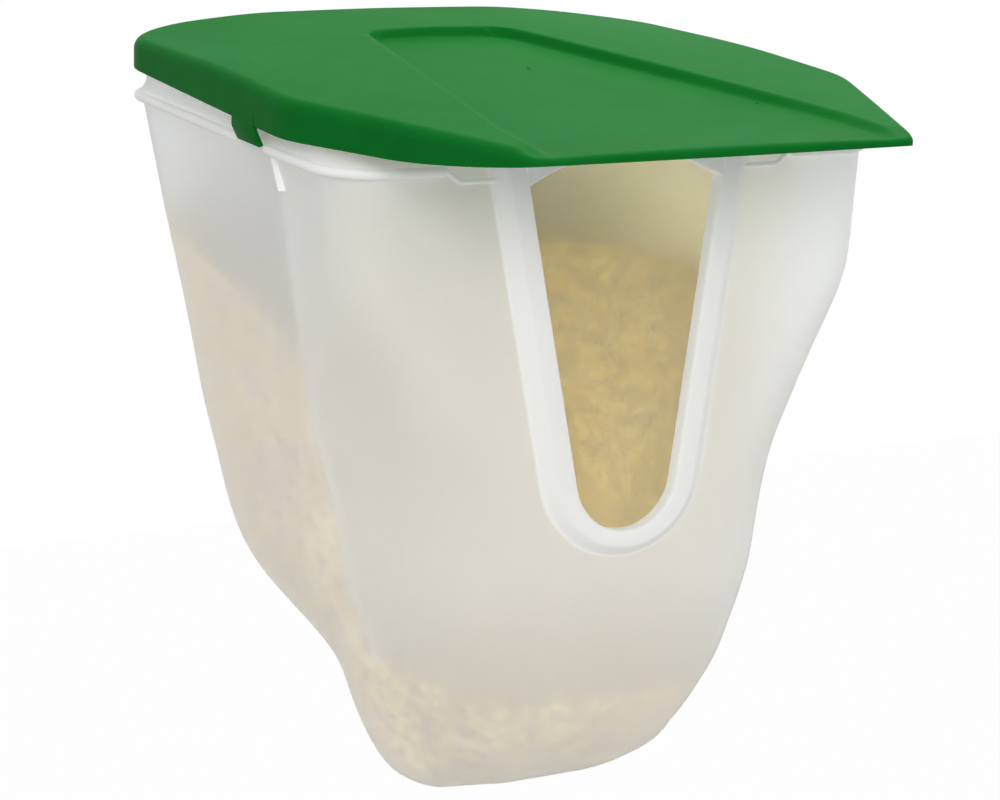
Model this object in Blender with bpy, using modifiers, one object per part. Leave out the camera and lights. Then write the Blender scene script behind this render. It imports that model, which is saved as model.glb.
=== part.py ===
"""A hanging poultry feeder: a translucent hopper and trough in one moulding, with a tall feeding slot in
front, a green visored lid hinged at the back, a baffle that holds the feed back, and a wall bracket.

The moulding is drawn in the frame of its rim: x to the right, y to the back, z square to the rim's plane,
z = 0 at the lower edge of the rim bead and y = 0 at the face of the raised slot frame. A depth is -z.
The rim frame hangs tilted by RIM_TILT, so that the back wall is upright and the rim slopes to the front.
"""

import math

import bmesh
import bpy
import numpy as np
from mathutils import Matrix, Vector

MM = 0.001
CLEARANCE = 0.3 * MM
OVERLAP = 1.0 * MM
STEP = 0.05 * MM
LEAST_TURN = 0.001

# The moulding of hopper and trough
RIM_TILT = math.radians(15.9)
BODY_WIDTH = 243.2 * MM
BODY_DEPTH = 218.4 * MM
BODY_HEIGHT = 277.5 * MM
NECK_HEIGHT = 14.5 * MM
NECK_START = 3.5 * MM
NECK_FULL = 9.5 * MM
NECK_INSET = 2.5 * MM
NECK_SETBACK = 9.0 * MM
WALL = 2.0 * MM
SIDE_DRAFT = 0.112
FRONT_DRAFT = 0.091
BACK_DRAFT = 0.285

# The side profile under the hopper: sloping floor, trough back and rounded trough front
BACK_STRAIGHT = 165.4 * MM
BACK_LEAD = 20.0 * MM
FLOOR_REAR_Y = 154.0 * MM
FLOOR_REAR_DEPTH = 197.0 * MM
FLOOR_FRONT_Y = 90.0 * MM
FLOOR_FRONT_DEPTH = 207.0 * MM
TROUGH_BOTTOM_Y = 82.0 * MM
FRONT_STRAIGHT = 171.0 * MM
BOTTOM_TURN = math.radians(80.0)

# The feeding slot and its raised frame
FRAME_PROUD = 4.6 * MM
FRAME_WIDTH = 13.3 * MM
FRAME_FOOT_WIDTH = 10.2 * MM
FRAME_LAND = 7.0 * MM
FRAME_TOP = 7.5 * MM
SLOT_RADIUS = 22.7 * MM
SLOT_CENTRE_DEPTH = 121.9 * MM
SLOT_TAPER = math.radians(9.62)
SLOT_CORNER_DEPTH = 5.5 * MM
SLOT_CROWN = 11.5 * MM

# The rim bead, the ledge beside the frame, and the ribs under the bead
BEAD_RADIUS = 2.0 * MM
BEAD_PROUD = 3.5 * MM
BEAD_END = 79.0 * MM
NOTCH_FRONT = 66.7 * MM
NOTCH_BACK = 92.3 * MM
LEDGE_RADIUS = 1.0 * MM
LEDGE_DROP = 2.6 * MM
LEDGE_SLOPE_END = 71.0 * MM
RIB_TOP_Y = 63.5 * MM
RIB_FOOT_Y = 55.8 * MM
RIB_TOP_DEPTH = 1.0 * MM
RIB_FOOT_DEPTH = 12.7 * MM
RIB_THICKNESS = 1.6 * MM
RIB_PROUD = 2.5 * MM

# The baffle and the grooves that hold it
BAFFLE_Y = 63.5 * MM
BAFFLE_DRAFT = 0.075
BAFFLE_THICKNESS = 1.6 * MM
BAFFLE_TOP_DEPTH = 3.0 * MM
BAFFLE_BOTTOM_DEPTH = 206.0 * MM
BAFFLE_SIDE_GAP = 1.0 * MM
GROOVE_DEPTH = 3.0 * MM
GROOVE_RIB = 1.5 * MM
GROOVE_TOP_DEPTH = 12.0 * MM
GROOVE_STOP = 2.5 * MM

# The lid
LID_REACH = 7.1 * MM
LID_WIDTH = BODY_WIDTH + 2.0 * LID_REACH
LID_BACK_Y = 235.5 * MM
LID_BACK_SIDE_Y = 232.0 * MM
LID_BACK_RADIUS = 42.0 * MM
LID_SHOULDER_Y = 40.0 * MM
LID_SHOULDER_RADIUS = 60.0 * MM
VISOR_HALF = 82.6 * MM
VISOR_Y = -72.5 * MM
VISOR_RADIUS = 8.0 * MM
LIP_CROWN = 1.0 * MM
LID_WALL = 2.0 * MM
LID_EDGE_RADIUS = 5.0 * MM
LIP_EDGE_RADIUS = 2.3 * MM
EDGE_SHARE = 0.72
LID_CREST = 27.5 * MM
LID_CREST_Y = 30.7 * MM
LID_SLOPE = 0.042
LID_LENGTH_CROWN = 0.05 / 1000 / MM
LID_CROSS_CROWN = 0.12 / 1000 / MM
NOSE_LENGTH = 24.0 * MM
NOSE_DROP = 2.3 * MM
CHANNEL_FLOOR_LIP = 19.4 * MM
CHANNEL_SLOPE = 0.036
CHANNEL_HALF_LIP = 77.5 * MM
CHANNEL_WIDE_Y = -35.0 * MM
CHANNEL_WIDE_RADIUS = 30.0 * MM
CHANNEL_HALF_ORIGIN = 69.0 * MM
CHANNEL_TAPER = 0.2
CHANNEL_END_Y = 172.0 * MM
CHANNEL_CROWN = 3.0 * MM
CHANNEL_RADIUS = 16.0 * MM
CHANNEL_BANK_FRONT = 6.0 * MM
CHANNEL_BANK_BACK = 3.0 * MM
CHANNEL_LINE_STEPS = 12
CHANNEL_END_STEPS = 6
SIDE_COLUMNS = 5
REAR_ROWS = 5
SKIRT_LOW = 10.3 * MM
SKIRT_RISE = 0.03
SKIRT_RISE_Y = -10.0 * MM
SKIRT_LIP = 16.75 * MM

# The snap tongues at the lid's sides, and the rests that sit on the neck
TONGUE_FRONT_Y = 68.5 * MM
TONGUE_WIDTH = 22.0 * MM
TONGUE_LOW = 2.5 * MM
TONGUE_BEND = 8.2 * MM
TONGUE_INSET = 2.8 * MM
SLIT_WIDTH = 1.4 * MM
SLIT_FRONT_HEIGHT = 6.0 * MM
SLIT_REAR_HEIGHT = 3.0 * MM
REST_YS = (50.0 * MM, 120.0 * MM, 165.0 * MM)
REST_THICKNESS = 2.4 * MM

# The hinge: a bar behind the neck, and clips on the lid
HINGE_Y = 235.0 * MM
HINGE_Z = 20.5 * MM
HINGE_BAR_RADIUS = 2.5 * MM
EAR_RADIUS = 4.0 * MM
EAR_THICKNESS = 4.0 * MM
EAR_SPACING = 58.0 * MM
CLIP_RADIUS = 5.0 * MM
CLIP_WIDTH = 14.0 * MM
CLIP_MOUTH = 3.8 * MM
NOTCH_MARGIN = 3.0 * MM
LID_NOTCH_Z = 26.1 * MM

# The hanger: a rail on the back wall that drops into a hooked bracket on the building's wall
STAND_OFF = 21.0 * MM
HANG_DROP = 20.0 * MM
HANGER_HALF = 34.0 * MM
HANGER_PLATE = 2.5 * MM
TONGUE_DROP = 9.0 * MM
BRACKET_HALF = 42.0 * MM
BRACKET_PLATE = 3.0 * MM
BRACKET_TOP = 4.0 * MM
BRACKET_BOTTOM = 38.0 * MM
HOOK_LIP = 2.5 * MM
HOOK_GAP = 4.5 * MM
HOOK_DEPTH = 9.6 * MM
HOOK_FLOOR = 2.5 * MM
SCREW_HALF_SPACING = 28.0 * MM
SCREW_DROP = 25.0 * MM
SCREW_HOLE_RADIUS = 2.3 * MM
SCREW_SINK_RADIUS = 4.4 * MM
GUSSET_THICKNESS = 2.5 * MM
STAND_RIB_HALF_SPACING = 45.0 * MM
STAND_RIB_THICKNESS = 2.4 * MM
STAND_RIB_TOP = 114.0 * MM
STAND_RIB_BOTTOM = 145.0 * MM


def mixed(a, b, share):
    """The value that lies at this share of the way from a to b."""
    return a + (b - a) * share


def smooth(share):
    """A share from 0 to 1 that starts and ends gently."""
    share = np.clip(share, 0.0, 1.0)
    return share * share * (3.0 - 2.0 * share)


def fairing(knots, values, at):
    """A curve through the values without overshoot: cubic pieces whose slopes are harmonic means."""
    knots = np.asarray(knots, float)
    values = np.asarray(values, float)
    steps = np.diff(knots)
    slopes = np.diff(values) / steps
    tangents = np.concatenate([slopes[:1], np.zeros(len(slopes) - 1), slopes[-1:]])
    for k in range(1, len(slopes)):
        if slopes[k - 1] * slopes[k] > 0:
            tangents[k] = 2.0 * slopes[k - 1] * slopes[k] / (slopes[k - 1] + slopes[k])
    at = np.clip(at, knots[0], knots[-1])
    k = np.clip(np.searchsorted(knots, at) - 1, 0, len(steps) - 1)
    t = (at - knots[k]) / steps[k]
    start = (1.0 + 2.0 * t) * (1.0 - t) ** 2 * values[k] + t * (1.0 - t) ** 2 * steps[k] * tangents[k]
    end = t * t * (3.0 - 2.0 * t) * values[k + 1] + t * t * (t - 1.0) * steps[k] * tangents[k + 1]
    return start + end


def filleted(corners, radii, arc_steps, line_steps):
    """Points along an open polygon whose inner corners are rounded by arcs.

    radii and arc_steps have one entry for each inner corner, line_steps one for each side.
    An arc's tangent length is cut to what its sides can give.
    """
    corners = [np.asarray(c, float) for c in corners]
    lengths = [np.linalg.norm(b - a) for a, b in zip(corners, corners[1:])]
    starts = [corners[0]]
    ends = []
    arcs = []
    tangents = []
    for k, radius in enumerate(radii, start=1):
        back = (corners[k - 1] - corners[k]) / lengths[k - 1]
        ahead = (corners[k + 1] - corners[k]) / lengths[k]
        half = 0.5 * (math.pi - math.acos(float(np.clip(back @ ahead, -1.0, 1.0))))
        tangents.append(radius * math.tan(half))
    for k in range(len(tangents)):
        before = lengths[k] - (tangents[k - 1] if k else 0.0)
        tangents[k] = min(tangents[k], 0.97 * before, 0.49 * lengths[k + 1])
    for k, tangent in enumerate(tangents, start=1):
        back = (corners[k - 1] - corners[k]) / lengths[k - 1]
        ahead = (corners[k + 1] - corners[k]) / lengths[k]
        a = corners[k] + back * tangent
        b = corners[k] + ahead * tangent
        half = max(0.5 * (math.pi - math.acos(float(np.clip(back @ ahead, -1.0, 1.0)))), LEAST_TURN)
        steps = arc_steps[k - 1]
        angles = np.linspace(-half, half, steps + 1)[1:-1]
        across = b - a
        rise = corners[k] - 0.5 * (a + b)
        along = 0.5 + 0.5 * np.sin(angles) / math.sin(half)
        bulge = (np.cos(angles) - math.cos(half)) / (1.0 - math.cos(half))
        sagitta = math.cos(half) / (1.0 + math.cos(half))
        arcs.append(a + along[:, None] * across + (bulge * sagitta)[:, None] * rise)
        ends.append(a)
        starts.append(b)
    ends.append(corners[-1])
    points = []
    for k, steps in enumerate(line_steps):
        shares = np.linspace(0.0, 1.0, steps + 1)[:, None]
        points.append(starts[k] + shares * (ends[k] - starts[k]))
        if k < len(arcs):
            points.append(arcs[k])
    return np.concatenate(points)


def side_half(depth):
    """Half of the hopper's outer width at its side walls."""
    return 0.5 * BODY_WIDTH - SIDE_DRAFT * depth


def front_wall(depth):
    """The outer y of the front wall's plane."""
    return FRAME_PROUD - FRONT_DRAFT * depth


def back_wall(depth):
    """The outer y of the back wall's plane."""
    return FRAME_PROUD + BODY_DEPTH - BACK_DRAFT * depth


def front_profile(depth):
    """The outer y at the front middle: the wall's plane, then an elliptic arc under the trough."""
    if depth <= FRONT_STRAIGHT:
        return front_wall(depth)
    start = front_wall(FRONT_STRAIGHT)
    drop = (depth - FRONT_STRAIGHT) / (BODY_HEIGHT - FRONT_STRAIGHT) * math.sin(BOTTOM_TURN)
    return start + (TROUGH_BOTTOM_Y - start) * (1.0 - math.sqrt(1.0 - drop * drop))


def back_profile(depth):
    """The outer y at the back middle: wall, rounded heel, sloping floor, then the trough's back."""
    if depth <= BACK_STRAIGHT:
        return back_wall(depth)
    if depth <= FLOOR_FRONT_DEPTH:
        heel = back_wall(BACK_STRAIGHT)
        knots = (BACK_STRAIGHT - BACK_LEAD, BACK_STRAIGHT, FLOOR_REAR_DEPTH, FLOOR_FRONT_DEPTH)
        ys = (back_wall(BACK_STRAIGHT - BACK_LEAD), heel, FLOOR_REAR_Y, FLOOR_FRONT_Y)
        return float(fairing(knots, ys, np.array([depth]))[0])
    drop = (depth - FLOOR_FRONT_DEPTH) / (BODY_HEIGHT - FLOOR_FRONT_DEPTH) * math.sin(BOTTOM_TURN)
    return TROUGH_BOTTOM_Y + (FLOOR_FRONT_Y - TROUGH_BOTTOM_Y) * math.sqrt(1.0 - drop * drop)


# How the front corner opens into a facet and then into the round trough, by depth:
# half width of the flat front, place of the facet's rear crease, half width at the back, and the radii.
# The stations were measured at the drawn width and height, and follow both.
CHAMFER = 12.1 * MM
APEX_DEPTH = 46.0 * MM
DRAWN_WIDTH = 243.2
DRAWN_HEIGHT = 277.5
STRAIGHT_STATIONS = np.array([-20.0, 46.0, 95.0, 124.0, 150.0, 178.0]) * MM
TROUGH_STATIONS = np.array([200.0, 222.0, 244.0, 262.0, 277.5]) / DRAWN_HEIGHT * BODY_HEIGHT
SHAPE_DEPTHS = np.concatenate([STRAIGHT_STATIONS, TROUGH_STATIONS])
AT_WIDTH = BODY_WIDTH / DRAWN_WIDTH
FLAT_HALVES = np.array([111.7, 104.3, 85.4, 72.4, 67.5, 63.5, 59.0, 51.5, 40.5, 27.5, 13.0]) * AT_WIDTH
CREASE_HALVES = np.array([123.8, 116.4, 110.4, 108.1, 105.8, 100.5, 90.5, 83.2, 76.0, 66.5, 45.0]) * AT_WIDTH
CREASE_SETBACKS = np.array([12.1, 12.1, 51.2, 66.4, 74.0, 74.0, 68.0, 58.0, 42.0, 22.0, 3.0]) * MM
BACK_HALVES = np.array([123.8, 116.4, 110.5, 108.1, 104.2, 101.6, 95.0, 83.0, 73.5, 62.5, 42.0]) * AT_WIDTH
FRONT_RADII = np.array([22.0, 22.0, 30.0, 45.0, 55.0, 60.0, 60.0, 55.0, 40.0, 25.0, 12.0]) * MM
CREASE_RADII = np.array([22.0, 22.0, 30.0, 40.0, 50.0, 50.0, 45.0, 40.0, 30.0, 18.0, 10.0]) * MM
BACK_RADII = np.array([21.0, 21.0, 22.0, 24.0, 27.0, 32.0, 36.0, 36.0, 30.0, 20.0, 10.0]) * MM

FRONT_STEPS = 3
FRONT_ARC_STEPS = 5
FACET_STEPS = 3
CREASE_ARC_STEPS = 4
SIDE_STEPS = 4
BACK_ARC_STEPS = 5
BACK_STEPS = 2
ROW_DEPTHS = (
    np.array([-14.5, -9.5, -7.5, -5.5, -3.5, 8, 20, 34, 46, 60, 72, 84, 96, 108, 122, 136, 150, 160, 168, 174, 180, 186, 191, 196])
    * MM
)
TROUGH_ROWS = 10


def row_depths():
    """Depths of the loft's rows: chosen ones down to the floor, then even in angle round the trough."""
    last = ROW_DEPTHS[-1]
    turn = np.linspace(0.0, BOTTOM_TURN, TROUGH_ROWS + 1)[1:]
    below = last + (BODY_HEIGHT - last) * np.sin(turn) / math.sin(BOTTOM_TURN)
    above = ROW_DEPTHS[1:]
    return np.concatenate([[-NECK_HEIGHT], above, below])


def half_outline(depth, inset=0.0):
    """The right half of the moulding's outline at a depth, from the front middle to the back middle."""
    at = np.array([depth])
    flat = float(fairing(SHAPE_DEPTHS, FLAT_HALVES, at)[0])
    crease = float(fairing(SHAPE_DEPTHS, CREASE_HALVES, at)[0])
    setback = float(fairing(SHAPE_DEPTHS, CREASE_SETBACKS, at)[0])
    back = float(fairing(SHAPE_DEPTHS, BACK_HALVES, at)[0])
    if depth <= APEX_DEPTH:
        crease = side_half(depth)
        back = crease
        flat = crease - CHAMFER
    neck = float(smooth((-depth - NECK_START) / (NECK_FULL - NECK_START)))
    front = front_profile(depth) + neck * NECK_INSET
    rear = back_profile(depth) - neck * NECK_INSET
    flat -= neck * NECK_INSET
    crease -= neck * NECK_INSET
    back -= neck * NECK_INSET
    setback += neck * NECK_SETBACK
    setback = min(setback, 0.62 * (rear - front))
    corners = [
        (0.0, front + inset),
        (flat - 0.4 * inset, front + inset),
        (crease - inset, front + setback),
        (back - inset, rear - inset),
        (0.0, rear - inset),
    ]
    radii = [
        float(fairing(SHAPE_DEPTHS, FRONT_RADII, at)[0]) - inset,
        float(fairing(SHAPE_DEPTHS, CREASE_RADII, at)[0]) - inset,
        float(fairing(SHAPE_DEPTHS, BACK_RADII, at)[0]) - inset,
    ]
    return filleted(
        corners,
        radii,
        (FRONT_ARC_STEPS, CREASE_ARC_STEPS, BACK_ARC_STEPS),
        (FRONT_STEPS, FACET_STEPS, SIDE_STEPS, BACK_STEPS),
    )


PARTS = "hanging_poultry_feeder"
TOOLS = "construction_shapes"


def clear_scene():
    for obj in list(bpy.data.objects):
        bpy.data.objects.remove(obj, do_unlink=True)


def new_collection(name):
    made = bpy.data.collections.new(name)
    bpy.context.scene.collection.children.link(made)
    return made


def plastic(name, colour, roughness, transmission=0.0):
    """A moulded plastic with its colour in linear light."""
    made = bpy.data.materials.new(name)
    made.use_nodes = True
    shader = made.node_tree.nodes["Principled BSDF"]
    shader.inputs["Base Color"].default_value = (*colour, 1.0)
    shader.inputs["Roughness"].default_value = roughness
    shader.inputs["Metallic"].default_value = 0.0
    shader.inputs["Transmission Weight"].default_value = transmission
    made.diffuse_color = (*colour, 1.0)
    return made


def add_object(name, mesh, parent=None, part=False):
    """An object in the parts' collection, or a hidden one among the construction shapes."""
    obj = bpy.data.objects.new(name, mesh)
    bpy.data.collections[PARTS if part else TOOLS].objects.link(obj)
    obj.parent = parent
    if not part:
        obj.hide_render = True
        obj.display_type = "WIRE"
    return obj


def mesh_of(name, points, faces):
    """A mesh from points and faces, with coincident points merged and faces turned outwards."""
    mesh = bpy.data.meshes.new(name)
    mesh.from_pydata([tuple(p) for p in points], [], [tuple(f) for f in faces])
    work = bmesh.new()
    work.from_mesh(mesh)
    bmesh.ops.remove_doubles(work, verts=work.verts, dist=0.00001)
    bmesh.ops.recalc_face_normals(work, faces=work.faces)
    work.to_mesh(mesh)
    work.free()
    return mesh


def skin(name, rings, cap_first=True, cap_last=True):
    """A closed tube of quads through rings of equally many points, with flat caps where asked."""
    rings = np.asarray(rings, float)
    count, around = rings.shape[:2]
    faces = []
    for r in range(count - 1):
        for k in range(around):
            ahead = (k + 1) % around
            faces.append((r * around + k, r * around + ahead, (r + 1) * around + ahead, (r + 1) * around + k))
    if cap_first:
        faces.append(tuple(range(around)))
    if cap_last:
        faces.append(tuple((count - 1) * around + k for k in range(around)))
    return mesh_of(name, rings.reshape(-1, 3), faces)


def box(name, low, high, parent=None, turn=None, part=False):
    """A box between two corners, made from a cube, turned about its middle if asked."""
    work = bmesh.new()
    bmesh.ops.create_cube(work, size=1.0)
    low = Vector(low)
    high = Vector(high)
    scale = Matrix.Diagonal((*(high - low), 1.0))
    place = Matrix.Translation((low + high) / 2.0) @ (turn or Matrix.Identity(4)) @ scale
    bmesh.ops.transform(work, matrix=place, verts=work.verts)
    mesh = bpy.data.meshes.new(name)
    work.to_mesh(mesh)
    work.free()
    return add_object(name, mesh, parent, part)


def cone(name, radius_low, radius_high, length, place, parent=None, segments=24):
    """A cylinder or cone along local z, centred, then placed by a matrix."""
    work = bmesh.new()
    bmesh.ops.create_cone(
        work, cap_ends=True, segments=segments, radius1=radius_low, radius2=radius_high, depth=length
    )
    bmesh.ops.transform(work, matrix=place, verts=work.verts)
    mesh = bpy.data.meshes.new(name)
    work.to_mesh(mesh)
    work.free()
    return add_object(name, mesh, parent)


def settled_mesh(name, curve_object, place=None):
    """The mesh that a curve object evaluates to, placed, with its caps welded; the curve is removed."""
    bpy.context.view_layer.update()
    graph = bpy.context.evaluated_depsgraph_get()
    mesh = bpy.data.meshes.new_from_object(curve_object.evaluated_get(graph))
    mesh.name = name
    mesh.transform(place or Matrix.Identity(4))
    work = bmesh.new()
    work.from_mesh(mesh)
    bmesh.ops.remove_doubles(work, verts=work.verts, dist=0.000005)
    bmesh.ops.recalc_face_normals(work, faces=work.faces)
    work.to_mesh(mesh)
    work.free()
    bpy.data.objects.remove(curve_object, do_unlink=True)
    return mesh


def plate(name, outline, thickness, place, parent=None):
    """A flat outline, filled and extruded about its plane, then placed by a matrix."""
    curve = bpy.data.curves.new(name, "CURVE")
    curve.dimensions = "2D"
    curve.fill_mode = "BOTH"
    curve.extrude = thickness / 2.0
    spline = curve.splines.new("POLY")
    spline.points.add(len(outline) - 1)
    for point, (u, v) in zip(spline.points, outline):
        point.co = (u, v, 0.0, 1.0)
    spline.use_cyclic_u = True
    mesh = settled_mesh(name, add_object(name + "_outline", curve), place)
    return add_object(name, mesh, parent)


def rod(name, path, radius, parent=None):
    """A round bar along a path, with flat ends."""
    curve = bpy.data.curves.new(name, "CURVE")
    curve.dimensions = "3D"
    curve.bevel_depth = radius
    curve.bevel_resolution = 2
    curve.use_fill_caps = True
    spline = curve.splines.new("POLY")
    spline.points.add(len(path) - 1)
    for point, place in zip(spline.points, path):
        point.co = (*place, 1.0)
    mesh = settled_mesh(name, add_object(name + "_path", curve))
    return add_object(name, mesh, parent)


def boolean(target, tool, operation):
    modifier = target.modifiers.new(f"{operation.lower()} {tool.name}", "BOOLEAN")
    modifier.operation = operation
    modifier.solver = "EXACT"
    modifier.object = tool


def across_x(x=0.0):
    """Carries a drawing's (u, v) to (y, z) in a plane square to x."""
    return Matrix(((0, 0, 1, x), (1, 0, 0, 0), (0, 1, 0, 0), (0, 0, 0, 1)))


def across_y(y=0.0):
    """Carries a drawing's (u, v) to (x, z) in a plane square to y."""
    return Matrix(((1, 0, 0, 0), (0, 0, -1, y), (0, 1, 0, 0), (0, 0, 0, 1)))


def on_front_wall(height=0.0):
    """Carries a drawing's (x, depth along the wall) to the front wall, at a height above it."""
    lean = math.atan(FRONT_DRAFT)
    down = Vector((0.0, -math.sin(lean), -math.cos(lean)))
    out = Vector((0.0, -math.cos(lean), math.sin(lean)))
    start = Vector((0.0, FRAME_PROUD, 0.0)) + out * height
    return Matrix(
        (
            (1, 0, 0, start.x),
            (0, down.y, out.y, start.y),
            (0, down.z, out.z, start.z),
            (0, 0, 0, 1),
        )
    )


def wall_points(drawing, rise):
    """Points of the front wall's drawing, raised above the wall."""
    frame = on_front_wall()
    return [tuple(frame @ Vector((x, depth, rise))) for x, depth in drawing]


def slot_half(depth):
    """Half of the slot's width at a depth on its straight sides."""
    return SLOT_RADIUS / math.cos(SLOT_TAPER) + (SLOT_CENTRE_DEPTH - depth) * math.tan(SLOT_TAPER)


def slot_edge(top, offset, foot_share=1.0, side_steps=5, arc_steps=14):
    """The U of the slot from its right top round to its left top, moved outwards by an offset.

    The offset shrinks to foot_share of itself at the bottom of the U.
    """
    angles = np.linspace(SLOT_TAPER, math.pi - SLOT_TAPER, arc_steps + 1)
    arc_normals = np.column_stack([np.cos(angles), np.sin(angles)])
    arc = np.array([0.0, SLOT_CENTRE_DEPTH]) + SLOT_RADIUS * arc_normals
    shares = np.sin((angles - angles[0]) / (angles[-1] - angles[0]) * math.pi)
    reach = offset * mixed(1.0, foot_share, shares)
    arc = arc + reach[:, None] * arc_normals
    start = np.array([slot_half(top) + offset / math.cos(SLOT_TAPER), top])
    side = start + np.linspace(0.0, 1.0, side_steps + 1)[:-1, None] * (arc[0] - start)
    return np.concatenate([side, arc, side[::-1] * np.array([-1.0, 1.0])])


def inner_half(depth, y):
    """Half of the moulding's inner width at a depth and a distance back."""
    outline = half_outline(depth, WALL)
    return float(np.interp(y, outline[:, 1], outline[:, 0]))


def baffle_y(depth):
    return BAFFLE_Y - BAFFLE_DRAFT * depth


def hopper_shell(parent):
    """The outer surface lofted through its outlines, made a wall by Solidify."""
    rings = []
    for depth in row_depths():
        half = half_outline(depth)
        loop = np.concatenate([half, (half * np.array([-1.0, 1.0]))[-2:0:-1]])
        rings.append(np.column_stack([loop, np.full(len(loop), -depth)]))
    mesh = skin("body", rings, cap_first=False, cap_last=True)
    shell = add_object("body", mesh, parent, part=True)
    wall = shell.modifiers.new("wall", "SOLIDIFY")
    wall.thickness = WALL
    wall.offset = -1.0
    wall.use_even_offset = True
    wall.use_quality_normals = True
    return shell


def slot_frame(parent):
    """The raised pad round the slot: outlines stacked up its rounded shoulder, from inside the wall.

    The slot is cut out of it with the wall, which leaves the frame and the header over the arch.
    """
    turns = np.linspace(0.0, 0.5 * math.pi, 6)
    offsets = FRAME_LAND + (FRAME_WIDTH - FRAME_LAND) * np.cos(turns)
    rises = FRAME_PROUD * np.sin(turns)
    offsets = np.append(FRAME_WIDTH, offsets)
    rises = np.append(-OVERLAP, rises)
    foot = FRAME_FOOT_WIDTH / FRAME_WIDTH
    rings = [wall_points(slot_edge(-FRAME_TOP, o, foot), rise) for o, rise in zip(offsets, rises)]
    return add_object("slot_frame", skin("slot_frame", rings), parent)


def slot_cutter(parent):
    """The slot's outline with its arched top, cut square through the wall."""
    outline = [tuple(p) for p in slot_edge(SLOT_CORNER_DEPTH, 0.0)]
    corner = slot_half(SLOT_CORNER_DEPTH)
    for x in np.linspace(-corner, corner, 14)[1:-1]:
        outline.append((x, SLOT_CORNER_DEPTH - SLOT_CROWN * (1.0 - (x / corner) ** 2)))
    return plate("slot_cutter", outline, 8.0 * FRAME_PROUD, on_front_wall(), parent)


def rim_bead(parent):
    """The bead along the rim, from one side of the slot frame round the back to the other side."""
    around = half_outline(-BEAD_RADIUS, BEAD_RADIUS - BEAD_PROUD)
    level = np.column_stack([around, np.full(len(around), BEAD_RADIUS)])
    start = np.array([[BEAD_END, around[0, 1], BEAD_RADIUS]])
    beyond = (level[:, 0] > BEAD_END) | (level[:, 1] > BAFFLE_Y)
    right = np.concatenate([start, level[beyond][:-1]])
    left = right[::-1] * np.array([-1.0, 1.0, 1.0])
    back = np.array([[0.0, around[-1, 1], BEAD_RADIUS]])
    bead = rod("rim_bead", np.concatenate([right, back, left]), BEAD_RADIUS, parent)
    low = (-BODY_WIDTH, NOTCH_FRONT, -2.0 * BEAD_RADIUS)
    high = (BODY_WIDTH, NOTCH_BACK, 4.0 * BEAD_RADIUS)
    boolean(bead, box("bead_gap", low, high, parent), "DIFFERENCE")
    return bead


def ledges_and_ribs(parent):
    """The thin ledge beside the frame on each side, and the slanted rib under the bead."""
    made = []
    frame_foot = slot_half(LEDGE_DROP) + FRAME_WIDTH
    drawing = [
        (BEAD_END - BEAD_RADIUS, -BEAD_RADIUS),
        (LEDGE_SLOPE_END, LEDGE_DROP),
        (frame_foot - FRAME_PROUD, LEDGE_DROP),
    ]
    length = math.hypot(RIB_TOP_Y - RIB_FOOT_Y, RIB_FOOT_DEPTH - RIB_TOP_DEPTH)
    slant = math.atan2(RIB_FOOT_Y - RIB_TOP_Y, RIB_FOOT_DEPTH - RIB_TOP_DEPTH)
    turn = Matrix.Rotation(slant, 4, "X")
    depth = 0.5 * (RIB_TOP_DEPTH + RIB_FOOT_DEPTH)
    reach = side_half(depth) + 0.5 * (RIB_PROUD - OVERLAP)
    half = Vector((0.5 * (RIB_PROUD + OVERLAP), 0.5 * RIB_THICKNESS, 0.5 * length))
    for side in (-1, 1):
        name = "left" if side < 0 else "right"
        path = wall_points([(side * x, drop) for x, drop in drawing], 0.2 * LEDGE_RADIUS)
        made.append(rod(f"ledge_{name}", path, LEDGE_RADIUS, parent))
        middle = Vector((side * reach, 0.5 * (RIB_TOP_Y + RIB_FOOT_Y), -depth))
        made.append(box(f"bead_rib_{name}", middle - half, middle + half, parent, turn))
    return made


def baffle_grooves(parent):
    """Two ribs inside each side wall that hold the baffle between them, and a stop under it."""
    made = []
    foot = BAFFLE_BOTTOM_DEPTH + CLEARANCE
    rib_depths = np.linspace(GROOVE_TOP_DEPTH, foot + 0.5 * GROOVE_STOP, 12)
    stop_depths = (foot, foot + GROOVE_STOP)
    shift = 0.5 * BAFFLE_THICKNESS + CLEARANCE + 0.5 * GROOVE_RIB
    half = 0.5 * GROOVE_RIB
    shapes = (
        ("groove_front", rib_depths, -shift - half, -shift + half),
        ("groove_rear", rib_depths, shift - half, shift + half),
        ("groove_stop", stop_depths, -shift, shift),
    )
    for name, depths, near, far in shapes:
        for side in (-1, 1):
            rings = []
            for depth in depths:
                front = baffle_y(depth) + near
                rear = baffle_y(depth) + far
                wall = inner_half(depth, 0.5 * (front + rear))
                inside = side * (wall - GROOVE_DEPTH)
                outside = side * (wall + OVERLAP)
                rings.append([(inside, front, -depth), (outside, front, -depth)])
                rings[-1] += [(outside, rear, -depth), (inside, rear, -depth)]
            label = f"{name}_{'left' if side < 0 else 'right'}"
            made.append(add_object(label, skin(label, rings), parent))
    return made


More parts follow.
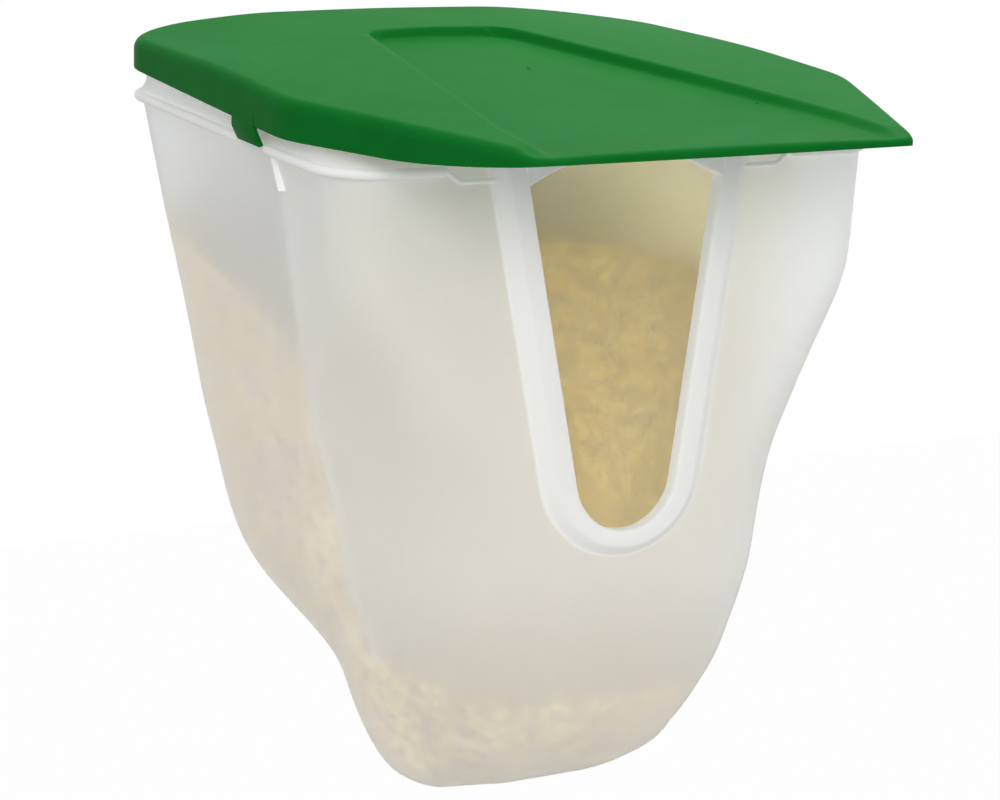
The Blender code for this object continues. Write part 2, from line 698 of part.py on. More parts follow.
def hinge_bar(parent):
    """The bar behind the neck that the lid's clips turn on, and the three ears that carry it."""
    made = [
        cone(
            "hinge_bar",
            HINGE_BAR_RADIUS,
            HINGE_BAR_RADIUS,
            2.0 * EAR_SPACING,
            Matrix.Translation((0.0, HINGE_Y, HINGE_Z)) @ Matrix.Rotation(0.5 * math.pi, 4, "Y"),
            parent,
            20,
        )
    ]
    root_low = -BEAD_RADIUS
    root_high = NECK_HEIGHT - OVERLAP
    around = [math.radians(a) for a in (-50, -20, 10, 40, 70, 100, 130, 160)]
    outline = [(back_wall(-root_low) - 0.5 * WALL, root_low)]
    outline += [(HINGE_Y + EAR_RADIUS * math.cos(a), HINGE_Z + EAR_RADIUS * math.sin(a)) for a in around]
    outline += [(back_wall(-root_high) - NECK_INSET - 0.5 * WALL, root_high)]
    for number, x in enumerate((-EAR_SPACING, 0.0, EAR_SPACING)):
        made.append(plate(f"hinge_ear_{number}", outline, EAR_THICKNESS, across_x(x), parent))
    return made


def hanger():
    """The hooked rail on the back wall, its gussets, and the ribs that stand the foot off the wall."""
    wall_y = -STAND_OFF - 0.5 * WALL
    tongue_back = -BRACKET_PLATE - 0.5 * (HOOK_GAP - HANGER_PLATE)
    rail = [
        (wall_y, CLEARANCE),
        (tongue_back - HANGER_PLATE, CLEARANCE),
        (tongue_back - HANGER_PLATE, CLEARANCE - TONGUE_DROP),
        (tongue_back, CLEARANCE - TONGUE_DROP),
        (tongue_back, CLEARANCE + HANGER_PLATE),
        (wall_y, CLEARANCE + HANGER_PLATE),
    ]
    made = [plate("hanger_rail", rail, 2.0 * HANGER_HALF, across_x())]
    gusset = [
        (wall_y, CLEARANCE + 0.5 * HANGER_PLATE),
        (tongue_back - HANGER_PLATE, CLEARANCE + 0.5 * HANGER_PLATE),
        (wall_y, CLEARANCE + HANGER_PLATE + 0.5 * STAND_OFF),
    ]
    foot = [
        (wall_y, -STAND_RIB_TOP),
        (-CLEARANCE, -STAND_RIB_TOP - 0.5 * STAND_OFF),
        (-CLEARANCE, -STAND_RIB_BOTTOM + 0.3 * STAND_OFF),
        (wall_y, -STAND_RIB_BOTTOM),
    ]
    edge = HANGER_HALF - 0.5 * GUSSET_THICKNESS
    for number, x in enumerate((-edge, 0.0, edge)):
        made.append(plate(f"hanger_gusset_{number}", gusset, GUSSET_THICKNESS, across_x(x)))
    for number, x in enumerate((-STAND_RIB_HALF_SPACING, STAND_RIB_HALF_SPACING)):
        made.append(plate(f"stand_rib_{number}", foot, STAND_RIB_THICKNESS, across_x(x)))
    return made


def build_body(rim, white):
    body = hopper_shell(rim)
    for shape in (slot_frame(rim), rim_bead(rim), *ledges_and_ribs(rim)):
        boolean(body, shape, "UNION")
    for shape in (*hinge_bar(rim), *hanger(), *baffle_grooves(rim)):
        boolean(body, shape, "UNION")
    boolean(body, slot_cutter(rim), "DIFFERENCE")
    body.data.materials.append(white)
    return body


def build_baffle(rim, clear):
    """A flat sheet cut to the moulding's inside, a clearance short of its walls."""
    half = 0.5 * BAFFLE_THICKNESS
    rings = []
    for depth in np.linspace(BAFFLE_TOP_DEPTH, BAFFLE_BOTTOM_DEPTH, 16):
        y = baffle_y(depth)
        reach = min(inner_half(depth, y - half), inner_half(depth, y + half)) - BAFFLE_SIDE_GAP
        front = [(-reach, y - half, -depth), (reach, y - half, -depth)]
        rings.append(front + [(reach, y + half, -depth), (-reach, y + half, -depth)])
    baffle = add_object("feed_baffle", skin("feed_baffle", rings), rim, part=True)
    baffle.data.materials.append(clear)
    return baffle


def crest(x, y):
    """Height of the lid's raised top: a gentle crown both ways, dipping at the visor's nose."""
    along = y - LID_CREST_Y
    height = LID_CREST + LID_SLOPE * along - LID_LENGTH_CROWN * along**2 - LID_CROSS_CROWN * x**2
    nose = smooth((VISOR_Y + NOSE_LENGTH - y) / NOSE_LENGTH)
    return height - NOSE_DROP * nose


def channel_floor(y):
    """Height of the channel's floor, which rises evenly from the lip."""
    return CHANNEL_FLOOR_LIP + CHANNEL_SLOPE * (y - VISOR_Y)


def skirt_low(y):
    """Height of the skirt's lower edge: nearly level along the sides, rising to the lip in front."""
    side = SKIRT_LOW + SKIRT_RISE * np.maximum(y - LID_SHOULDER_Y, 0.0)
    share = np.clip((SKIRT_RISE_Y - y) / (SKIRT_RISE_Y - VISOR_Y), 0.0, 1.0)
    return side + (SKIRT_LIP - SKIRT_LOW) * share**1.6


def channel_outline(inset_front, inset_back, radius, arc_steps):
    """The channel's right half from the lip to the middle of its rounded end."""
    front = CHANNEL_HALF_LIP - inset_front
    wide = CHANNEL_HALF_ORIGIN - CHANNEL_TAPER * CHANNEL_WIDE_Y - inset_front
    end_y = CHANNEL_END_Y - inset_back
    narrow = CHANNEL_HALF_ORIGIN - CHANNEL_TAPER * end_y - inset_back
    corners = [(front, VISOR_Y + LIP_EDGE_RADIUS), (wide, CHANNEL_WIDE_Y)]
    corners += [(narrow, end_y), (0.0, end_y + CHANNEL_CROWN)]
    return filleted(corners, (CHANNEL_WIDE_RADIUS, radius), (2, arc_steps), (1, CHANNEL_LINE_STEPS, CHANNEL_END_STEPS))


def lid_outline():
    """The right half of the lid's plan, from the middle of the lip to the middle of the back."""
    corners = [
        (0.0, VISOR_Y - LIP_CROWN),
        (VISOR_HALF, VISOR_Y),
        (0.5 * LID_WIDTH, LID_SHOULDER_Y),
        (0.5 * LID_WIDTH, LID_BACK_SIDE_Y),
        (0.0, LID_BACK_Y),
    ]
    radii = (VISOR_RADIUS, LID_SHOULDER_RADIUS, LID_BACK_RADIUS)
    return filleted(corners, radii, (8, 10, 16), (12, 12, 12, 8))


def along(path, lengths):
    """Points and outward normals on a path at given lengths from its start."""
    steps = np.linalg.norm(np.diff(path, axis=0), axis=1)
    run = np.concatenate([[0.0], np.cumsum(steps)])
    points = np.column_stack([np.interp(lengths, run, path[:, k]) for k in (0, 1)])
    tangents = np.diff(path, axis=0) / steps[:, None]
    middles = 0.5 * (run[1:] + run[:-1])
    heading = np.column_stack([np.interp(lengths, middles, tangents[:, k]) for k in (0, 1)])
    heading /= np.linalg.norm(heading, axis=1)[:, None]
    return points, np.column_stack([heading[:, 1], -heading[:, 0]])


def length_to(path, test):
    """The length along a path to its first point that passes a test."""
    steps = np.linalg.norm(np.diff(path, axis=0), axis=1)
    run = np.concatenate([[0.0], np.cumsum(steps)])
    return run[int(np.argmax([bool(test(p)) for p in path]))]


def patch(first, last, low, high):
    """A grid between four curves that meet at its corners: the two rulings less the bilinear part."""
    u = np.linspace(0.0, 1.0, len(first))[None, :, None]
    v = np.linspace(0.0, 1.0, len(low))[:, None, None]
    ruled_v = (1 - v) * first[None] + v * last[None]
    ruled_u = (1 - u) * low[:, None] + u * high[:, None]
    corners = (1 - v) * ((1 - u) * first[0] + u * first[-1]) + v * ((1 - u) * last[0] + u * last[-1])
    return ruled_v + ruled_u - corners


def straight(a, b, steps):
    return np.asarray(a) + np.linspace(0.0, 1.0, steps + 1)[:, None] * (np.asarray(b) - np.asarray(a))


def lid_half():
    """Points and faces of the right half of the lid's outer surface, open at the middle plane.

    The top is a grid whose lines follow the channel's floor edge and top edge, and whose border follows
    the lid's outline. Rings round the border turn the top down into the skirt.
    """
    floor_edge = channel_outline(CHANNEL_BANK_FRONT, CHANNEL_BANK_BACK, CHANNEL_RADIUS - CHANNEL_BANK_BACK, 4)
    top_edge = channel_outline(0.0, 0.0, CHANNEL_RADIUS, 6)
    corner = len(floor_edge) - 1 - CHANNEL_END_STEPS - 2
    rows_front = corner
    columns = len(floor_edge) - 1 - corner
    outline = lid_outline()
    steps = np.linalg.norm(np.diff(outline, axis=0), axis=1)
    total = float(steps.sum())
    lip_end = length_to(outline, lambda p: p[1] > VISOR_Y + 0.3 * VISOR_RADIUS)
    arch_side = length_to(outline, lambda p: p[1] > 0.9 * CHANNEL_END_Y)
    corner_y = LID_BACK_SIDE_Y - 0.3 * LID_BACK_RADIUS
    back_corner = length_to(outline, lambda p: p[1] > corner_y)
    lip_lengths = np.concatenate([floor_edge[0, 0] * np.linspace(0, 1, columns + 1), [top_edge[0, 0]]])
    lip_lengths = np.concatenate([lip_lengths, np.linspace(top_edge[0, 0], lip_end, SIDE_COLUMNS + 1)[1:]])
    side_lengths = np.linspace(lip_end, arch_side, rows_front + 2)[1:]
    side_lengths = np.concatenate([side_lengths, np.linspace(arch_side, back_corner, REAR_ROWS + 1)[1:]])
    rear_lengths = np.linspace(back_corner, total, columns + 2 + SIDE_COLUMNS)[1:]
    lengths = np.concatenate([lip_lengths, side_lengths, rear_lengths])
    border, normals = along(outline, lengths)
    normals[0] = (0.0, -1.0)
    normals[-1] = (0.0, 1.0)
    reach_top = crest(border[:, 0], border[:, 1])
    in_lip = (np.arange(len(border)) <= columns) & (border[:, 1] < LID_CREST_Y)
    reach_top = np.where(in_lip, channel_floor(border[:, 1]), reach_top)
    depth = reach_top - skirt_low(border[:, 1])
    radius = np.clip(EDGE_SHARE * depth, LIP_EDGE_RADIUS, LID_EDGE_RADIUS)
    inner = border - radius[:, None] * normals
    inner[0, 0] = 0.0
    inner[-1, 0] = 0.0

    last_column = columns + 1 + SIDE_COLUMNS
    last_row = rows_front + 1 + REAR_ROWS
    lip = inner[: last_column + 1]
    side = inner[last_column : last_column + last_row + 1]
    rear = inner[last_column + last_row :][::-1]
    floor_column = floor_edge[: corner + 1].copy()
    floor_column[0] = lip[columns]
    floor_row = floor_edge[corner:][::-1]
    top_column = top_edge[: corner + 2].copy()
    top_column[0] = lip[columns + 1]
    top_row = top_edge[corner + 1 :][::-1]
    plan = np.zeros((last_row + 1, last_column + 1, 2))
    middle_front = straight(lip[0], floor_row[0], rows_front)
    plan[: rows_front + 1, : columns + 1] = patch(lip[: columns + 1], floor_row, middle_front, floor_column)
    side_row = straight(top_column[-1], side[rows_front + 1], SIDE_COLUMNS)
    front_side = patch(lip[columns + 1 :], side_row, top_column, side[: rows_front + 2])
    plan[: rows_front + 2, columns + 1 :] = front_side
    rear_edge = straight(top_column[-1], rear[columns + 1], REAR_ROWS)
    middle_rear = straight(top_row[0], rear[0], REAR_ROWS)
    plan[rows_front + 1 :, : columns + 2] = patch(top_row, rear[: columns + 2], middle_rear, rear_edge)
    rear_side = patch(side_row, rear[columns + 1 :], rear_edge, side[rows_front + 1 :])
    plan[rows_front + 1 :, columns + 1 :] = rear_side
    height = crest(plan[..., 0], plan[..., 1])
    height[: rows_front + 1, : columns + 1] = channel_floor(plan[: rows_front + 1, : columns + 1, 1])
    top = np.concatenate([plan, height[..., None]], axis=2)

    points = [top.reshape(-1, 3)]
    faces = []
    across = last_column + 1
    for j in range(last_row):
        for i in range(last_column):
            k = j * across + i
            faces.append((k, k + 1, k + across + 1, k + across))
    loop = [i for i in range(across)]
    loop += [j * across + last_column for j in range(1, last_row + 1)]
    loop += [last_row * across + i for i in range(last_column - 1, -1, -1)]
    edge_height = top.reshape(-1, 3)[loop, 2]
    previous = loop
    start = len(points[0])
    for turn in (math.radians(30), math.radians(60), math.radians(90), None):
        if turn is None:
            place = border
            level = skirt_low(border[:, 1])
        else:
            place = inner + (radius * math.sin(turn))[:, None] * normals
            level = edge_height - radius * (1.0 - math.cos(turn))
        ring = np.column_stack([place, level])
        ring[0, 0] = 0.0
        ring[-1, 0] = 0.0
        points.append(ring)
        fresh = list(range(start, start + len(ring)))
        start += len(ring)
        for k in range(len(ring) - 1):
            faces.append((previous[k], fresh[k], fresh[k + 1], previous[k + 1]))
        previous = fresh
    return np.concatenate(points), faces


def lid_shell(parent):
    points, faces = lid_half()
    points = points - np.array([0.0, HINGE_Y, HINGE_Z])
    mesh = bpy.data.meshes.new("lid")
    mesh.from_pydata([tuple(p) for p in points], [], faces)
    lid = add_object("lid", mesh, parent, part=True)
    lid.location = (0.0, HINGE_Y, HINGE_Z)
    mirror = lid.modifiers.new("halves", "MIRROR")
    mirror.use_clip = True
    mirror.merge_threshold = 0.00005
    wall = lid.modifiers.new("wall", "SOLIDIFY")
    wall.thickness = LID_WALL
    wall.offset = -1.0
    wall.use_even_offset = True
    wall.use_quality_normals = True
    return lid


def snap_tongues(parent):
    """The tongues that hook past the rim bead, and the slits that let them spring."""
    outer = 0.5 * LID_WIDTH - STEP
    inner = outer - LID_WALL + 2.0 * STEP
    root = float(skirt_low(TONGUE_FRONT_Y)) + SLIT_FRONT_HEIGHT
    outline = [
        (inner, root),
        (inner, TONGUE_BEND + 0.5 * LID_WALL),
        (inner - TONGUE_INSET, TONGUE_LOW + 0.3 * LID_WALL),
        (outer - TONGUE_INSET, TONGUE_LOW),
        (outer, TONGUE_BEND),
        (outer, root),
    ]
    middle = TONGUE_FRONT_Y + 0.5 * TONGUE_WIDTH
    rear = TONGUE_FRONT_Y + TONGUE_WIDTH
    tongues = []
    slits = []
    for side in (-1, 1):
        name = "left" if side < 0 else "right"
        drawing = [(side * x, z) for x, z in outline]
        tongues.append(plate(f"tongue_{name}", drawing, TONGUE_WIDTH, across_y(middle), parent))
        for where, y, way, height in (
            ("front", TONGUE_FRONT_Y, -1, SLIT_FRONT_HEIGHT),
            ("rear", rear, 1, SLIT_REAR_HEIGHT),
        ):
            low = float(skirt_low(y))
            edge = y - way * STEP
            wedge = [(edge, low - OVERLAP), (y + way * SLIT_WIDTH, low - OVERLAP), (edge, low + height)]
            place = across_x(side * outer)
            slits.append(plate(f"slit_{where}_{name}", wedge, 6.0 * LID_WALL, place, parent))
    return tongues, slits


def lid_rests(parent):
    """Short ribs under the lid that rest on the neck's edge."""
    made = []
    neck_outer = side_half(-NECK_HEIGHT) - NECK_INSET
    inner = neck_outer - WALL - REST_THICKNESS
    outer = neck_outer + 0.5 * MM
    for side in (-1, 1):
        for number, y in enumerate(REST_YS):
            top = float(crest(outer, y)) - 0.7 * LID_WALL
            low = NECK_HEIGHT + CLEARANCE
            corners = sorted((side * inner, side * outer))
            name = f"rest_{'left' if side < 0 else 'right'}_{number}"
            half = 0.5 * REST_THICKNESS
            made.append(box(name, (corners[0], y - half, low), (corners[1], y + half, top), parent))
    return made


def hinge_clips(parent):
    """The clips that snap over the hinge bar, with the cutters of their bores and mouths."""
    clips = []
    bores = []
    for number, x in enumerate((-0.5 * EAR_SPACING, 0.5 * EAR_SPACING)):
        turn = Matrix.Rotation(0.5 * math.pi, 4, "Y")
        place = Matrix.Translation((x, HINGE_Y, HINGE_Z)) @ turn
        clips.append(cone(f"clip_{number}", CLIP_RADIUS, CLIP_RADIUS, CLIP_WIDTH, place, parent, 28))
        half = 0.5 * CLIP_WIDTH - OVERLAP
        low = (x - half, HINGE_Y - 0.8 * CLIP_RADIUS, HINGE_Z + 0.5 * CLIP_RADIUS)
        top = float(crest(x, HINGE_Y)) - LID_EDGE_RADIUS + OVERLAP
        high = (x + half, HINGE_Y - 0.24 * CLIP_RADIUS, top)
        clips.append(box(f"clip_neck_{number}", low, high, parent))
        hole = HINGE_BAR_RADIUS + CLEARANCE
        bores.append(cone(f"clip_bore_{number}", hole, hole, 1.2 * CLIP_WIDTH, place, parent, 28))
        low = (x - 0.6 * CLIP_WIDTH, HINGE_Y - 0.5 * CLIP_MOUTH, HINGE_Z - 2.0 * CLIP_RADIUS)
        high = (x + 0.6 * CLIP_WIDTH, HINGE_Y + 0.5 * CLIP_MOUTH, HINGE_Z)
        bores.append(box(f"clip_mouth_{number}", low, high, parent))
    return clips, bores


def build_lid(rim, green):
    lid = lid_shell(rim)
    reach = EAR_SPACING + 0.5 * EAR_THICKNESS + NOTCH_MARGIN
    notch = box(
        "lid_notch",
        (-reach, HINGE_Y - CLIP_RADIUS, 0.0),
        (reach, LID_BACK_Y + LID_WALL, LID_NOTCH_Z),
        rim,
    )
    boolean(lid, notch, "DIFFERENCE")
    tongues, slits = snap_tongues(rim)
    clips, bores = hinge_clips(rim)
    for shape in (*tongues, *lid_rests(rim), *clips):
        boolean(lid, shape, "UNION")
    for shape in (*slits, *bores):
        boolean(lid, shape, "DIFFERENCE")
    lid.data.materials.append(green)
    return lid


def build_bracket(grey):
    """The wall bracket: a plate with two screw holes and a hook that the hanger rail drops into."""
    low = (-BRACKET_HALF, -BRACKET_PLATE, -BRACKET_BOTTOM)
    high = (BRACKET_HALF, 0.0, BRACKET_TOP)
    base = box("wall_bracket", low, high, part=True)
    front = -BRACKET_PLATE - HOOK_GAP - HOOK_LIP
    hook = [
        (-0.5 * BRACKET_PLATE, -HOOK_DEPTH),
        (-0.5 * BRACKET_PLATE, -HOOK_DEPTH - HOOK_FLOOR),
        (front, -HOOK_DEPTH - HOOK_FLOOR),
        (front, 0.0),
        (front + HOOK_LIP, 0.0),
        (front + HOOK_LIP, -HOOK_DEPTH),
    ]
    boolean(base, plate("hook", hook, 2.0 * HANGER_HALF, across_x()), "UNION")
    gusset = [
        (-0.5 * BRACKET_PLATE, -HOOK_DEPTH - 0.5 * HOOK_FLOOR),
        (-0.5 * BRACKET_PLATE, -BRACKET_BOTTOM + BRACKET_TOP),
        (front + HOOK_LIP, -HOOK_DEPTH - 0.5 * HOOK_FLOOR),
    ]
    for number, x in enumerate((-0.35 * HANGER_HALF, 0.35 * HANGER_HALF)):
        boolean(base, plate(f"hook_gusset_{number}", gusset, GUSSET_THICKNESS, across_x(x)), "UNION")
    upright = Matrix.Rotation(0.5 * math.pi, 4, "X")
    sink_length = SCREW_SINK_RADIUS - SCREW_HOLE_RADIUS + OVERLAP
    for number, x in enumerate((-SCREW_HALF_SPACING, SCREW_HALF_SPACING)):
        middle = Matrix.Translation((x, -0.5 * BRACKET_PLATE, -SCREW_DROP)) @ upright
        hole = cone(f"screw_hole_{number}", SCREW_HOLE_RADIUS, SCREW_HOLE_RADIUS, 3.0 * BRACKET_PLATE, middle)
        face = Matrix.Translation((x, -BRACKET_PLATE - OVERLAP + 0.5 * sink_length, -SCREW_DROP)) @ upright
        wide = SCREW_SINK_RADIUS + OVERLAP
        sink = cone(f"screw_sink_{number}", SCREW_HOLE_RADIUS, wide, sink_length, face)
        boolean(base, hole, "DIFFERENCE")
        boolean(base, sink, "DIFFERENCE")
    base.data.materials.append(grey)
    return base


def main():
    clear_scene()
    new_collection(PARTS)
    new_collection(TOOLS)
    white = plastic("milky_polypropylene", (0.80, 0.80, 0.76), 0.35, 0.3)
    clear = plastic("clear_polypropylene", (0.82, 0.82, 0.78), 0.3, 0.5)
    green = plastic("green_polypropylene", (0.022, 0.26, 0.065), 0.4)
    grey = plastic("grey_polypropylene", (0.25, 0.26, 0.26), 0.45)
    rim = bpy.data.objects.new("rim_frame", None)
    bpy.data.collections[PARTS].objects.link(rim)
    rim.rotation_euler = (RIM_TILT, 0.0, 0.0)
    behind = back_wall(0.0) * math.cos(RIM_TILT) + STAND_OFF
    above = back_wall(0.0) * math.sin(RIM_TILT) - HANG_DROP
    rim.location = (0.0, -behind, -above)
    pieces = [build_body(rim, white), build_lid(rim, green), build_baffle(rim, clear), build_bracket(grey)]
    for piece in pieces:
        piece.data.shade_smooth()
    bpy.context.view_layer.update()


main()
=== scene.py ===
"""The hanging poultry feeder of the photograph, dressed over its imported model: a milky hopper and trough
in one moulding, a green visored lid, a hazy baffle, a wall bracket, and the feed that shows through."""

import math

import bmesh
import bpy
import numpy as np
from mathutils import Matrix, Vector


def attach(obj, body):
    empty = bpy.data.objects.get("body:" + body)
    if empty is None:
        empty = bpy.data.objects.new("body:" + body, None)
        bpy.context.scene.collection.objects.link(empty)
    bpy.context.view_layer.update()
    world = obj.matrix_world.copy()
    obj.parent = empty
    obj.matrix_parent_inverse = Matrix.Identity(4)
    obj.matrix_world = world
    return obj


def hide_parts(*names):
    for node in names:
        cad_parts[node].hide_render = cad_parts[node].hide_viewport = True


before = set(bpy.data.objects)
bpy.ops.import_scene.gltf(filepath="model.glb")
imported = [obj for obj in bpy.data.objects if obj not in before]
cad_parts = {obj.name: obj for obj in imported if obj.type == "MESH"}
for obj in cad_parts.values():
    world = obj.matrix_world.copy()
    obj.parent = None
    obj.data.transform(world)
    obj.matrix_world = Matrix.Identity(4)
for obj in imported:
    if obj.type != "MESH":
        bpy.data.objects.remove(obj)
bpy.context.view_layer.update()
scene = bpy.context.scene
scene.view_settings.view_transform = "Standard"

# Camera, light and floor.
# The view is the photograph's: a long lens, level with the feeder and to its left. The feeder hangs in
# soft, even light, and the floor under it and the space behind it read as white to the camera.
SENSOR, PICTURE_WIDTH, FOCAL_LENGTH = 36.0, 1000.0, 2802.8
WHITE = (1.0, 1.0, 1.0, 1.0)
lens = bpy.data.cameras.new("photo_camera")
lens.sensor_width = SENSOR
lens.lens = SENSOR * FOCAL_LENGTH / PICTURE_WIDTH
lens.clip_end = 50.0
camera = bpy.data.objects.new("photo_camera", lens)
camera.location = (-0.549782, -1.176531, -0.114253)
camera.rotation_euler = (1.559831, 0.093932, -0.476585)
scene.collection.objects.link(camera)
scene.camera = camera


def new_node(tree, kind, values=None, links=None, **settings):
    """A new shader node: its settings, the values of its inputs, and the outputs linked to its inputs."""
    made = tree.nodes.new("ShaderNode" + kind)
    for key, value in settings.items():
        setattr(made, key, value)
    for key, value in (values or {}).items():
        made.inputs[key].default_value = value
    for key, output in (links or {}).items():
        tree.links.new(output, made.inputs[key])
    return made


def white_to_camera(tree, shader, white, share):
    """Mixes a shader with white light for the rays that reach it from the camera, glass or gloss.

    Weight of the white = share x (camera ray or glossy ray or transmission ray).
    """
    path = new_node(tree, "LightPath")
    weight = path.outputs["Is Camera Ray"]
    for ray in ("Is Transmission Ray", "Is Glossy Ray"):
        both = {0: weight, 1: path.outputs[ray]}
        weight = new_node(tree, "Math", links=both, operation="MAXIMUM").outputs[0]
    weight = new_node(tree, "Math", {1: share}, {0: weight}, operation="MULTIPLY").outputs[0]
    links = {0: weight, 1: shader.outputs[0], 2: white.outputs[0]}
    return new_node(tree, "MixShader", links=links).outputs[0]


def material(name, values):
    """A node material, its tree, and its main shader with these values of its inputs."""
    made = bpy.data.materials.new(name)
    made.use_nodes = True
    shader = made.node_tree.nodes["Principled BSDF"]
    for key, value in values.items():
        shader.inputs[key].default_value = value
    return made, made.node_tree, shader


world = bpy.data.worlds.new("studio")
world.use_nodes = True
scene.world = world
tree = world.node_tree
soft = tree.nodes["Background"]
soft.inputs["Color"].default_value = WHITE
soft.inputs["Strength"].default_value = 0.56
white = new_node(tree, "Background", {"Color": WHITE, "Strength": 1.0})
tree.links.new(white_to_camera(tree, soft, white, 1.0), tree.nodes["World Output"].inputs["Surface"])

FLOOR_REACH, FLOOR_LEVEL = 12.0, -0.75
floor_mesh = bpy.data.meshes.new("floor")
corners = [(FLOOR_REACH * x, FLOOR_REACH * y, FLOOR_LEVEL) for x, y in ((-1, -1), (1, -1), (1, 1), (-1, 1))]
floor_mesh.from_pydata(corners, [], [(0, 1, 2, 3)])
floor = bpy.data.objects.new("floor", floor_mesh)
scene.collection.objects.link(floor)
pale, tree, shader = material("pale_floor", {"Base Color": (0.36, 0.36, 0.36, 1.0), "Roughness": 0.9})
glow = new_node(tree, "Emission", {"Color": WHITE, "Strength": 1.0})
tree.links.new(white_to_camera(tree, shader, glow, 0.98), tree.nodes["Material Output"].inputs["Surface"])
floor_mesh.materials.append(pale)

for name, place, aim, size, power in (
    ("key_light", (-0.75, -2.1, 0.35), (0.0, -0.16, -0.12), 1.1, 15.5),
    ("fill_light", (1.8, -1.2, 0.5), (0.0, -0.16, -0.12), 1.2, 0.6),
    ("top_light", (0.65, -0.1, 1.1), (0.06, -0.16, 0.0), 0.9, 10.5),
):
    lamp = bpy.data.lights.new(name, "AREA")
    lamp.shape = "DISK"
    lamp.size = size
    lamp.energy = power
    light = bpy.data.objects.new(name, lamp)
    light.location = place
    light.rotation_mode = "QUATERNION"
    light.rotation_quaternion = Vector((0.0, 0.0, -1.0)).rotation_difference(Vector(aim) - Vector(place))
    scene.collection.objects.link(light)

# The hopper and trough wall.
# One injection moulding of milky polypropylene, 2 mm thick: an upright back, a front whose corners open
# into long facets, and a round trough under it. The feeding slot is cut through its front.
MM = 0.001
WALL = 2 * MM
RIM_TILT = math.radians(15.9)
RIM_PLACE = np.array([0.0, -0.235468, -0.041093])
HALF_WIDTH = 121.6 * MM
BODY_DEPTH = 218.4 * MM
BODY_HEIGHT = 277.5 * MM
NECK_HEIGHT = 14.5 * MM
NECK_START = 3.5 * MM
NECK_FULL = 9.5 * MM
NECK_INSET = 2.5 * MM
NECK_SETBACK = 9 * MM
SIDE_DRAFT = 0.112
FRONT_DRAFT = 0.091
BACK_DRAFT = 0.285
FRAME_PROUD = 4.6 * MM
BACK_STRAIGHT = 165.4 * MM
FRONT_STRAIGHT = 171 * MM
HEEL_DEPTH = 197 * MM
HEEL_Y = 154 * MM
TROUGH_BOTTOM_Y = 82 * MM
FLOOR_FRONT_Y = 90 * MM
FLOOR_FRONT_DEPTH = 207 * MM
BOTTOM_TURN = math.radians(80.0)
CHAMFER = 12.1 * MM
APEX_DEPTH = 46 * MM
SHAPE_DEPTHS = np.array([-20.0, 46.0, 95.0, 124.0, 150.0, 178.0, 200.0, 222.0, 244.0, 262.0, 277.5]) * MM
FLAT_HALVES = np.array([111.7, 104.3, 85.4, 72.4, 67.5, 63.5, 59.0, 51.5, 40.5, 27.5, 13.0]) * MM
CREASE_HALVES = np.array([123.8, 116.4, 110.4, 108.1, 105.8, 100.5, 90.5, 83.2, 76.0, 66.5, 45.0]) * MM
CREASE_SETBACKS = np.array([12.1, 12.1, 51.2, 66.4, 74.0, 74.0, 68.0, 58.0, 42.0, 22.0, 3.0]) * MM
BACK_HALVES = np.array([123.8, 116.4, 110.5, 108.1, 104.2, 101.6, 95.0, 83.0, 73.5, 62.5, 42.0]) * MM
FRONT_RADII = np.array([22.0, 22.0, 30.0, 45.0, 55.0, 60.0, 60.0, 55.0, 40.0, 25.0, 12.0]) * MM
CREASE_RADII = np.array([22.0, 22.0, 30.0, 40.0, 50.0, 50.0, 45.0, 40.0, 30.0, 18.0, 10.0]) * MM
BACK_RADII = np.array([21.0, 21.0, 22.0, 24.0, 27.0, 32.0, 36.0, 36.0, 30.0, 20.0, 10.0]) * MM
SHAPE_HALVES = (FLAT_HALVES, CREASE_HALVES, CREASE_SETBACKS, BACK_HALVES)
SHAPE_TABLES = (*SHAPE_HALVES, FRONT_RADII, CREASE_RADII, BACK_RADII)


def hung(points):
    """From the rim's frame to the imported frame: turned about x by the rim's tilt, then moved."""
    c, s = math.cos(RIM_TILT), math.sin(RIM_TILT)
    turn = np.array([[1.0, 0.0, 0.0], [0.0, c, -s], [0.0, s, c]])
    return np.asarray(points) @ turn.T + RIM_PLACE


def smooth(share):
    """3 t^2 - 2 t^3, with t held between 0 and 1."""
    share = np.clip(share, 0.0, 1.0)
    return share * share * (3.0 - 2.0 * share)


def fairing(knots, values, at):
    """Cubic pieces through the values, whose slopes at the knots are harmonic means of their neighbours'."""
    steps = np.diff(knots)
    slopes = np.diff(values) / steps
    product = slopes[:-1] * slopes[1:]
    total = slopes[:-1] + slopes[1:]
    inner = np.where(product > 0, 2.0 * product / np.where(product > 0, total, 1.0), 0.0)
    tangents = np.concatenate([slopes[:1], inner, slopes[-1:]])
    at = np.clip(at, knots[0], knots[-1])
    k = np.clip(np.searchsorted(knots, at) - 1, 0, len(steps) - 1)
    t = (at - knots[k]) / steps[k]
    start = (1.0 + 2.0 * t) * (1.0 - t) ** 2 * values[k] + t * (1.0 - t) ** 2 * steps[k] * tangents[k]
    end = t * t * (3.0 - 2.0 * t) * values[k + 1] + t * t * (t - 1.0) * steps[k] * tangents[k + 1]
    return start + end


